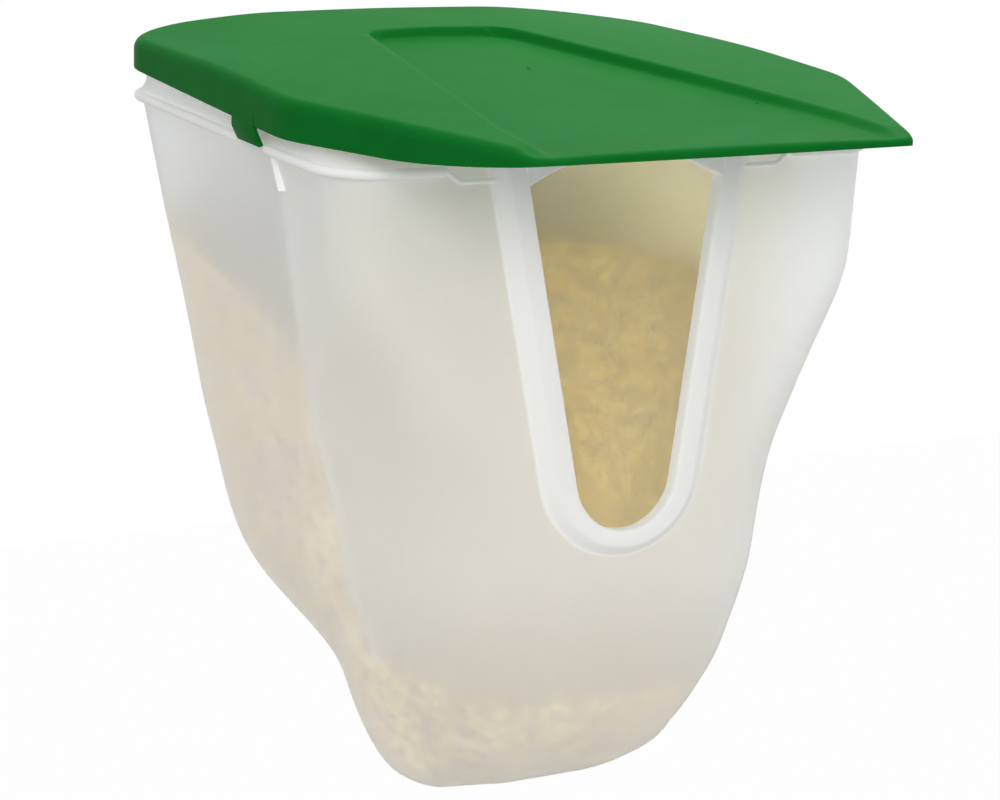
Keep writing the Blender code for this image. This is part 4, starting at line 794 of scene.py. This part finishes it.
def resampled(path, steps, *last_runs):
    """Points along a path: even steps, then its own steps over each of the last runs, (steps, length)."""
    run = run_along(path)
    counts = [steps] + [count for count, _ in last_runs]
    ends = run[-1] - np.cumsum([0.0] + [length for _, length in last_runs[::-1]])[::-1]
    return placed(stepped([0.0, *ends], counts), run, path)


floor_edge = channel_edge(6 * MM, 3 * MM, 13 * MM)
top_edge = channel_edge(0.0, 0.0, 16 * MM)
bend = LIP_STEPS + TURN_STEPS + SIDE_STEPS + END_STEPS // 2
along_side, along_rear, across_bank = (10, 15 * MM), (10, 12 * MM), (BANK, 7.5 * MM)
floor_column = resampled(floor_edge[: bend + 1], ROWS - 10, along_side)
floor_row = resampled(floor_edge[bend:][::-1], COLUMNS - 10, along_rear)
top_column = resampled(top_edge[: bend + 1], ROWS - 10, along_side, across_bank)
top_row = resampled(top_edge[bend:][::-1], COLUMNS - 10, along_rear, across_bank)

SIDE_END_Y = 232 * MM
REAR_RADIUS = 42 * MM
plan_corners = [(0.0, VISOR_Y - MM), (VISOR_HALF, VISOR_Y), (LID_HALF, SHOULDER_Y), (LID_HALF, SIDE_END_Y)]
plan_corners.append((0.0, LID_BACK_Y))
outline = filleted(plan_corners, (8 * MM, 60 * MM, REAR_RADIUS), (12, 16, 24), (30, 30, 30, 20))
run = run_along(outline)
lip_end, arch_side, back_corner = (
    run[np.argmax(outline[:, 1] > y)]
    for y in (VISOR_Y + 2.4 * MM, 0.9 * CHANNEL_END, SIDE_END_Y - 0.3 * REAR_RADIUS)
)
knots = [0.0, floor_column[0, 0], top_column[0, 0], lip_end, arch_side, back_corner, run[-1]]
counts = (COLUMNS, BANK, SIDE_COLUMNS, ROWS + BANK, REAR_ROWS, COLUMNS + BANK + SIDE_COLUMNS)
lengths = stepped(knots, counts)
border = placed(lengths, run, outline)
way = placed(lengths, 0.5 * (run[1:] + run[:-1]), np.diff(outline, axis=0) / np.diff(run)[:, None])
way /= np.linalg.norm(way, axis=1)[:, None]
normals = np.column_stack([way[:, 1], -way[:, 0]])
normals[0] = (0.0, -1.0)
normals[-1] = (0.0, 1.0)

last_column = COLUMNS + BANK + SIDE_COLUMNS
last_row = ROWS + BANK + REAR_ROWS
across_share = np.clip((np.arange(last_column + 1) - COLUMNS) / BANK, 0.0, 1.0)
along_share = np.clip((np.arange(last_row + 1) - ROWS) / BANK, 0.0, 1.0)
bank_share = np.maximum(across_share[None], along_share[:, None])
border_share = smooth(np.concatenate([bank_share[0], bank_share[1:, -1], bank_share[-1, -2::-1]]))
edge_low = channel_floor(border[:, 0], border[:, 1])
edge_top = edge_low + border_share * (crest(border[:, 0], border[:, 1]) - edge_low)
drop = edge_top - skirt_low(border[:, 1])
radius = np.clip(0.72 * drop, LIP_ROUND, 5 * MM)
inner = border - radius[:, None] * normals
inner[[0, -1], 0] = 0.0
lip = inner[: last_column + 1]
side = inner[last_column : last_column + last_row + 1]
rear = inner[last_column + last_row :][::-1]
floor_column[0] = lip[COLUMNS]
top_column[0] = lip[COLUMNS + BANK]


def bands(first):
    """Slices of the plan's rows or columns: the floor's, the bank's, the rest's, and the first two's."""
    end = first + BANK
    return np.s_[: first + 1], np.s_[first : end + 1], np.s_[end:], np.s_[: end + 1]


floor_rows, bank_rows, rear_rows, front_rows = bands(ROWS)
floor_cols, bank_cols, side_cols, mid_cols = bands(COLUMNS)
bank_row = line(floor_row[-1], top_column[ROWS], BANK)
bank_column = line(floor_row[-1], top_row[COLUMNS], BANK)
side_row = line(top_column[-1], side[ROWS + BANK], SIDE_COLUMNS)
rear_edge = line(top_column[-1], rear[COLUMNS + BANK], REAR_ROWS)
middle = line(lip[0], floor_row[0], ROWS)
bank_middle = line(floor_row[0], top_row[0], BANK)
rear_middle = line(top_row[0], rear[0], REAR_ROWS)
plan = np.zeros((last_row + 1, last_column + 1, 2))
plan[floor_rows, floor_cols] = ruled(lip[floor_cols], floor_row, middle, floor_column)
plan[floor_rows, bank_cols] = ruled(lip[bank_cols], bank_row, floor_column, top_column[floor_rows])
plan[bank_rows, floor_cols] = ruled(floor_row, top_row[floor_cols], bank_middle, bank_column)
plan[bank_rows, bank_cols] = ruled(bank_row, top_row[COLUMNS:], bank_column, top_column[ROWS:])
plan[front_rows, side_cols] = ruled(lip[side_cols], side_row, top_column, side[front_rows])
plan[rear_rows, mid_cols] = ruled(top_row, rear[mid_cols], rear_middle, rear_edge)
plan[rear_rows, side_cols] = ruled(side_row, rear[side_cols], rear_edge, side[rear_rows])


def nearest(points, path):
    """Each point's distance to a path: the least, over its pieces, of the distance to the foot or the end."""
    starts, ways = path[:-1], np.diff(path, axis=0)
    away = points[:, None] - starts[None]
    foot = np.clip(np.sum(away * ways, axis=2) / np.sum(ways * ways, axis=1), 0.0, 1.0)
    return np.linalg.norm(away - foot[..., None] * ways, axis=2).min(axis=1)


block = plan[bank_rows, bank_cols].reshape(-1, 2)
to_floor, to_top = nearest(block, floor_edge), nearest(block, top_edge)
bank_share[bank_rows, bank_cols] = (to_floor / (to_floor + to_top)).reshape(BANK + 1, BANK + 1)
bank_share = smooth(bank_share)
low_part = channel_floor(plan[..., 0], plan[..., 1])
height = low_part + bank_share * (crest(plan[..., 0], plan[..., 1]) - low_part)
top_points = raised(plan, height).reshape(-1, 3)

index = np.arange(len(top_points)).reshape(last_row + 1, last_column + 1)
loop = np.concatenate([index[0], index[1:, -1], index[-1, -2::-1]])
angles = np.radians(np.linspace(0.0, 90.0, 9)[1:])[:, None]
rolled = inner[None] + (radius * np.sin(angles))[..., None] * normals[None]
rolled_z = top_points[loop, 2] - radius * (1.0 - np.cos(angles))
down = np.linspace(0.0, 1.0, 4)[1:, None]
skirt_z = rolled_z[-1] + down * (skirt_low(border[:, 1]) - rolled_z[-1])
skirt = raised(np.repeat(border[None], len(down), axis=0), skirt_z)
rings = np.concatenate([raised(rolled, rolled_z), skirt])
rings[:, [0, -1], 0] = 0.0
added = len(top_points) + np.arange(rings.shape[0] * len(loop)).reshape(-1, len(loop))
ring_index = np.concatenate([loop[None], added])
half_points = np.concatenate([top_points, rings.reshape(-1, 3)])
half_faces = quads(index) + quads(ring_index)

SLIT = 1.4 * MM
TONGUE = (68.5 * MM, 90.5 * MM)
TONGUE_LOW = 2.5 * MM
HINGE_CUT_WIDE, HINGE_CUT_TOP = 126 * MM, 26.1 * MM
cutters = []
for way_y, edge_y, tall in ((-1.0, TONGUE[0], 6 * MM), (1.0, TONGUE[1], 3 * MM)):
    low = float(skirt_low(edge_y))
    wedge = [(edge_y, low - MM), (edge_y + way_y * SLIT, low - MM), (edge_y, low + tall)]
    cutters += [plate(wedge, 12 * MM, across_x(x), 0.0) for x in (-LID_HALF, LID_HALF)]
hinge_cut = oblong(HINGE[1] - 5 * MM, LID_BACK_Y + WALL, -MM, HINGE_CUT_TOP)
cutters.append(plate(hinge_cut, HINGE_CUT_WIDE, across_x(), 0.0))
lid_halves = [(half_points, half_faces), (half_points * mirror_x, half_faces)]
lid_mesh = solid_of("lid_outer_face", in_rim(lid_halves))
if sum(p.normal.z for p in lid_mesh.polygons) < 0:
    lid_mesh.flip_normals()
lid_mesh = carved("lid_shell", lid_mesh, in_rim(cutters), WALL)
leaf, deep_leaf = (0.0045, 0.172, 0.021), (0.0035, 0.155, 0.018)
green = moulded_plastic("green_polypropylene", leaf, deep_leaf, rough=0.55, grain=0.5, gloss=0.03)
piece("lid_shell", lid_mesh, green, "green_plastic", "lid", "lid")

fittings = []
outer = LID_HALF - 0.05 * MM
skin = outer - 1.9 * MM
step_in = 2.8 * MM
root = float(skirt_low(TONGUE[0])) + 6 * MM
bent = [(skin, root), (skin, 9.2 * MM), (skin - step_in, 3.1 * MM), (outer - step_in, TONGUE_LOW)]
bent += [(outer, 8.2 * MM), (outer, root)]
bent = filleted(bent, (2 * MM, 0.3 * MM, 0.3 * MM, 3 * MM), (5, 3, 3, 5), (1, 2, 1, 2, 1))
bent = spaced(bent, 0.01 * MM)
REST_LOW = 14.8 * MM
REST_PLACES = (50 * MM, 120 * MM, 165 * MM)
neck_x = HALF_WIDTH + SIDE_DRAFT * NECK_HEIGHT - NECK_INSET
CLIP_X, CLIP_OUTER, CLIP_BORE, CLIP_MOUTH = 29 * MM, 5 * MM, 2.8 * MM, 1.9 * MM
CLIP_WIDE, STEM_WIDE, REST_THICK = 14 * MM, 12 * MM, 2.4 * MM
quarter_turn = 0.5 * math.pi
gap_out, gap_in = math.asin(CLIP_MOUTH / CLIP_OUTER), math.asin(CLIP_MOUTH / CLIP_BORE)
ring = round_bar(CLIP_OUTER, np.linspace(gap_out - quarter_turn, 3.0 * quarter_turn - gap_out, 40))
ring += round_bar(CLIP_BORE, np.linspace(3.0 * quarter_turn - gap_in, gap_in - quarter_turn, 32))
stem_top = float(crest(CLIP_X, HINGE[1])) - 4 * MM
stem = oblong(HINGE[1] - 4 * MM, HINGE[1] - 1.2 * MM, HINGE[2] + 2.5 * MM, stem_top)
for side in (-1.0, 1.0):
    tongue = [(side * x, z) for x, z in bent]
    fittings.append(plate(tongue, TONGUE[1] - TONGUE[0], across_y(0.5 * sum(TONGUE)), 0.3 * MM))
    for y in REST_PLACES:
        rest_top = float(crest(neck_x, y)) - 0.7 * WALL
        rest = oblong(side * (neck_x - 4.4 * MM), side * (neck_x + 0.5 * MM), REST_LOW, rest_top)
        fittings.append(plate(rest, REST_THICK, across_y(y)))
    fittings.append(plate(ring, CLIP_WIDE, across_x(side * CLIP_X), 0.3 * MM))
    fittings.append(plate(stem, STEM_WIDE, across_x(side * CLIP_X), 0.3 * MM))
GATES = ((5 * MM, 93 * MM), (60 * MM, 3.4 * MM))
GATE_RADIUS, GATE_SUNK, GATE_TALL = 1 * MM, 0.4 * MM, 0.9 * MM
dome = np.radians(np.linspace(0.0, 80.0, 6))[:, None]
circle = np.linspace(0.0, 2.0 * math.pi, 20, endpoint=False)[None]
for gate_x, gate_y in GATES:
    x_ring = gate_x + GATE_RADIUS * np.cos(dome) * np.cos(circle)
    y_ring = gate_y + GATE_RADIUS * np.cos(dome) * np.sin(circle)
    z_ring = channel_floor(gate_x, gate_y) - GATE_SUNK + GATE_TALL * np.sin(dome)
    fittings.append(tube_of(np.stack(np.broadcast_arrays(x_ring, y_ring, z_ring), axis=2)))
piece("lid_tongues_rests_and_clips", in_rim(fittings), green, "green_plastic", "lid", "lid")

# The feed.
# Cracked maize and wheat, poured in under the lid: it fills the hopper behind the baffle, runs under the
# baffle's foot, and lies as a sloping bed in the trough.
random = np.random.default_rng(7)
ahead_grid = np.gradient(wall_grid, axis=0)
next_grid = np.roll(wall_grid, -1, axis=1) - np.roll(wall_grid, 1, axis=1)
outward = np.cross(next_grid, ahead_grid)
outward /= np.maximum(np.linalg.norm(outward, axis=2, keepdims=True), 1e-12)
centre = wall_grid.mean(axis=1, keepdims=True)
facing = np.sign(np.sum(outward * (wall_grid - centre), axis=2).sum())
FEED_GAP = 0.6 * MM
inside = wall_grid - facing * outward * (WALL + FEED_GAP)


def heap(x, y):
    """The hopper's surface: rising to the back, heaped 42 mm in the middle by the baffle, with soft dips."""
    back = y - 58 * MM
    hump = (42 * MM - 0.04 * back) * np.cos(np.clip(x / (118 * MM), -1.0, 1.0) * 0.5 * math.pi)
    dips = 1.1 * MM * np.sin(x / (17 * MM) + 1.0) * np.sin(y / (13 * MM))
    return -84 * MM + 0.22 * back + hump + dips


def bed(x, y):
    """The trough's surface: falling to the front from the baffle's foot, with soft dips."""
    dips = 0.9 * MM * np.sin(x / (11 * MM)) * np.sin(y / (9 * MM) + 0.6)
    return -206 * MM - 0.26 * (50 * MM - y) + dips


AIR_FRONT, AIR_BACK, AIR_TOP = -45 * MM, 240 * MM, 60 * MM
x_lines = np.linspace(-130.0, 130.0, 121) * MM
bed_y = np.linspace(AIR_FRONT, 48 * MM, 36)
face_depths = np.linspace(204 * MM, 66 * MM, 40)
face_y = baffle_y(face_depths) + 2.4 * MM
heap_y = np.linspace(baffle_y(62 * MM) + 4 * MM, AIR_BACK, 60)
across = x_lines[:, None]
surface_y = np.concatenate([bed_y, face_y, heap_y, [AIR_BACK, AIR_FRONT]])
face_z = np.broadcast_to(-face_depths, (len(x_lines), len(face_depths)))
top_z = np.full((len(x_lines), 2), AIR_TOP)
surface_z = np.column_stack([bed(across, bed_y), face_z, heap(across, heap_y), top_z])
air_rows = np.stack(np.broadcast_arrays(across, surface_y, surface_z), axis=2)
bulk_mesh = solid_of("feed_filling", [tube_of(hung(inside))])
bulk_mesh = carved("feed_bulk", bulk_mesh, in_rim([tube_of(air_rows)]))

GRAIN_STOPS = (
    (0.0, (0.46, 0.27, 0.05)),
    (0.2, (0.66, 0.42, 0.06)),
    (0.5, (0.80, 0.53, 0.05)),
    (0.75, (0.83, 0.61, 0.09)),
    (1.0, (0.86, 0.72, 0.24)),
)
# The packed feed glows faintly in its own yellow: painted light that brightens the feed seen through the
# walls.
packed_feed, tree, shader = material(
    "packed_feed", {"Roughness": 0.75, "Emission Color": (0.95, 0.68, 0.14, 1.0), "Emission Strength": 0.05}
)
where = new_node(tree, "TexCoord").outputs["Object"]
cells = new_node(tree, "TexVoronoi", {"Scale": 210.0, "Randomness": 0.95}, {"Vector": where})
tone = new_node(tree, "SeparateColor", links={0: cells.outputs["Color"]})
colour = ramp_of(tree, tone.outputs[0], *GRAIN_STOPS)
# The cells' edges are darkened to 0.6 of their colour: painted shade between the grains; the same values make
# the bump.
painted_gap_shade = mapped(tree, cells.outputs["Distance"], 0.25, 0.75, 1.0, 0.6)
shade = new_node(tree, "Mix", {0: 1.0}, {6: colour, 7: painted_gap_shade}, data_type="RGBA", blend_type="MULTIPLY")
tree.links.new(shade.outputs[2], shader.inputs["Base Color"])
bumped(tree, shader, painted_gap_shade, 0.0015, 0.9)
piece("feed_bulk", bulk_mesh, packed_feed, None, "hopper")


def grains(places, size):
    """Cracked grains: a ball stretched three ways and turned at random, one at each place.

    Point = place + g + w t + v x t, for g = half lengths x ball point, t = 2 v x g, and a random unit
    quaternion (w, v).
    """
    work = bmesh.new()
    bmesh.ops.create_icosphere(work, subdivisions=1, radius=1.0)
    ball = np.array([v.co[:] for v in work.verts])
    faces = np.array([[v.index for v in f.verts] for f in work.faces])
    work.free()
    many = len(places)
    lumps = 1.0 + 0.16 * random.standard_normal((many, len(ball), 1))
    lengths = size * random.uniform([0.95, 0.75, 0.6], [1.3, 1.0, 0.85], (many, 3))
    q = random.standard_normal((many, 4))
    q /= np.linalg.norm(q, axis=1, keepdims=True)
    w, v = q[:, None, :1], q[:, None, 1:]
    grain = ball * lumps * lengths[:, None]
    twist = 2.0 * np.cross(v, grain)
    points = places[:, None] + grain + w * twist + np.cross(v, twist)
    all_faces = (faces[None] + (np.arange(many) * len(ball))[:, None, None]).reshape(-1, 3)
    return points.reshape(-1, 3), all_faces.tolist(), np.repeat(random.random(many), len(ball))


def scattered(u_range, v_range, step):
    """Places on a net of this step, each moved at random by up to half of it."""
    u, v = np.meshgrid(np.arange(*u_range, step), np.arange(*v_range, step))
    places = np.column_stack([u.ravel(), v.ravel()])
    return places + random.uniform(-0.5, 0.5, places.shape) * step


loose_feed, tree, shader = material("loose_feed", {"Roughness": 0.6})
tint = new_node(tree, "Attribute", attribute_name="grain_tint").outputs["Fac"]
# The loose grains take the feed's colours at 0.75: painted shade, a darker copy of the packed feed's colours.
painted_shade_grain_stops = [(place, tuple(0.75 * part for part in colour)) for place, colour in GRAIN_STOPS]
tree.links.new(ramp_of(tree, tint, *painted_shade_grain_stops), shader.inputs["Base Color"])
bumped(tree, shader, noise(tree, 900.0, 3.0, 0.6), 0.0004, 0.5)

GRAIN = 1.7 * MM
STEP = 3.2 * MM
CLEAR = WALL + 3.4 * MM
x, y = scattered((-112 * MM, 112 * MM), (60 * MM, 218 * MM), STEP).T
z = heap(x, y) + random.uniform(-0.6, 0.9, len(x)) * MM
level = half_outline(55 * MM, CLEAR)
level = level[np.argsort(level[:, 1])]
limit = np.interp(y, level[:, 1], level[:, 0])
fits = (np.abs(x) < limit) & (y > baffle_y(-z) + 4 * MM) & (y < back_wall(-z) - CLEAR)
heap_spots = np.column_stack([x, y, z])[fits]

x, deep = scattered((-112 * MM, 112 * MM), (62 * MM, 205 * MM), STEP).T
y = baffle_y(deep)
fits = (np.abs(x) < inner_half(deep, y, CLEAR)) & (-deep < heap(x, y))
face_spots = np.column_stack([x, y + 2.9 * MM + random.uniform(0, 0.8, len(x)) * MM, -deep])[fits]

x, y = scattered((-80 * MM, 80 * MM), (-12 * MM, 86 * MM), STEP).T
z = bed(x, y) + random.uniform(-0.6, 0.8, len(x)) * MM
z = np.where(y > 46 * MM, -209 * MM, z)
fits = (np.abs(x) < inner_half(-z, y, CLEAR)) & (y > front_profile(-z) + WALL + 3.2 * MM) & (y < 50 * MM)
bed_spots = np.column_stack([x, y, z])[fits]

all_spots = {"feed_heap_top": heap_spots, "feed_behind_baffle": face_spots, "feed_in_trough": bed_spots}
for name, places in all_spots.items():
    points, faces, tints = grains(places, GRAIN)
    grain_mesh = bpy.data.meshes.new(name)
    grain_mesh.from_pydata(hung(points).tolist(), [], faces)
    tint_layer = grain_mesh.attributes.new("grain_tint", "FLOAT", "POINT")
    tint_layer.data.foreach_set("value", tints.astype(np.float32))
    piece(name, grain_mesh, loose_feed, None, "hopper", sharp=70.0)

# The baffle.
# A flat sheet of hazy polypropylene, slid down into the moulding's grooves. Its yellow tint is painted
# reflected light, the feed's colour cast into its haze from behind, and its faint glow is painted light. It
# keeps the feed back from the slot, and its foot leaves a gap that meters the feed into the trough.
painted_feed_light = (0.94, 0.88, 0.62), (0.91, 0.84, 0.55)
hazy = moulded_plastic(
    "hazy_polypropylene", *painted_feed_light, rough=0.6, grain=0.3, clear=0.78, ior=1.33, gloss=0.3, glow=0.03
)

# The wall bracket.
# A grey moulded plate for two countersunk screws, with a hook along it that the hanger rail drops into.
grey = moulded_plastic("grey_polypropylene", (0.27, 0.28, 0.28), (0.23, 0.24, 0.24), rough=0.48, grain=0.5)
for part_name, plastic in (("feed_baffle", hazy), ("wall_bracket", grey)):
    for cad_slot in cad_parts[part_name].material_slots:
        cad_slot.material = plastic
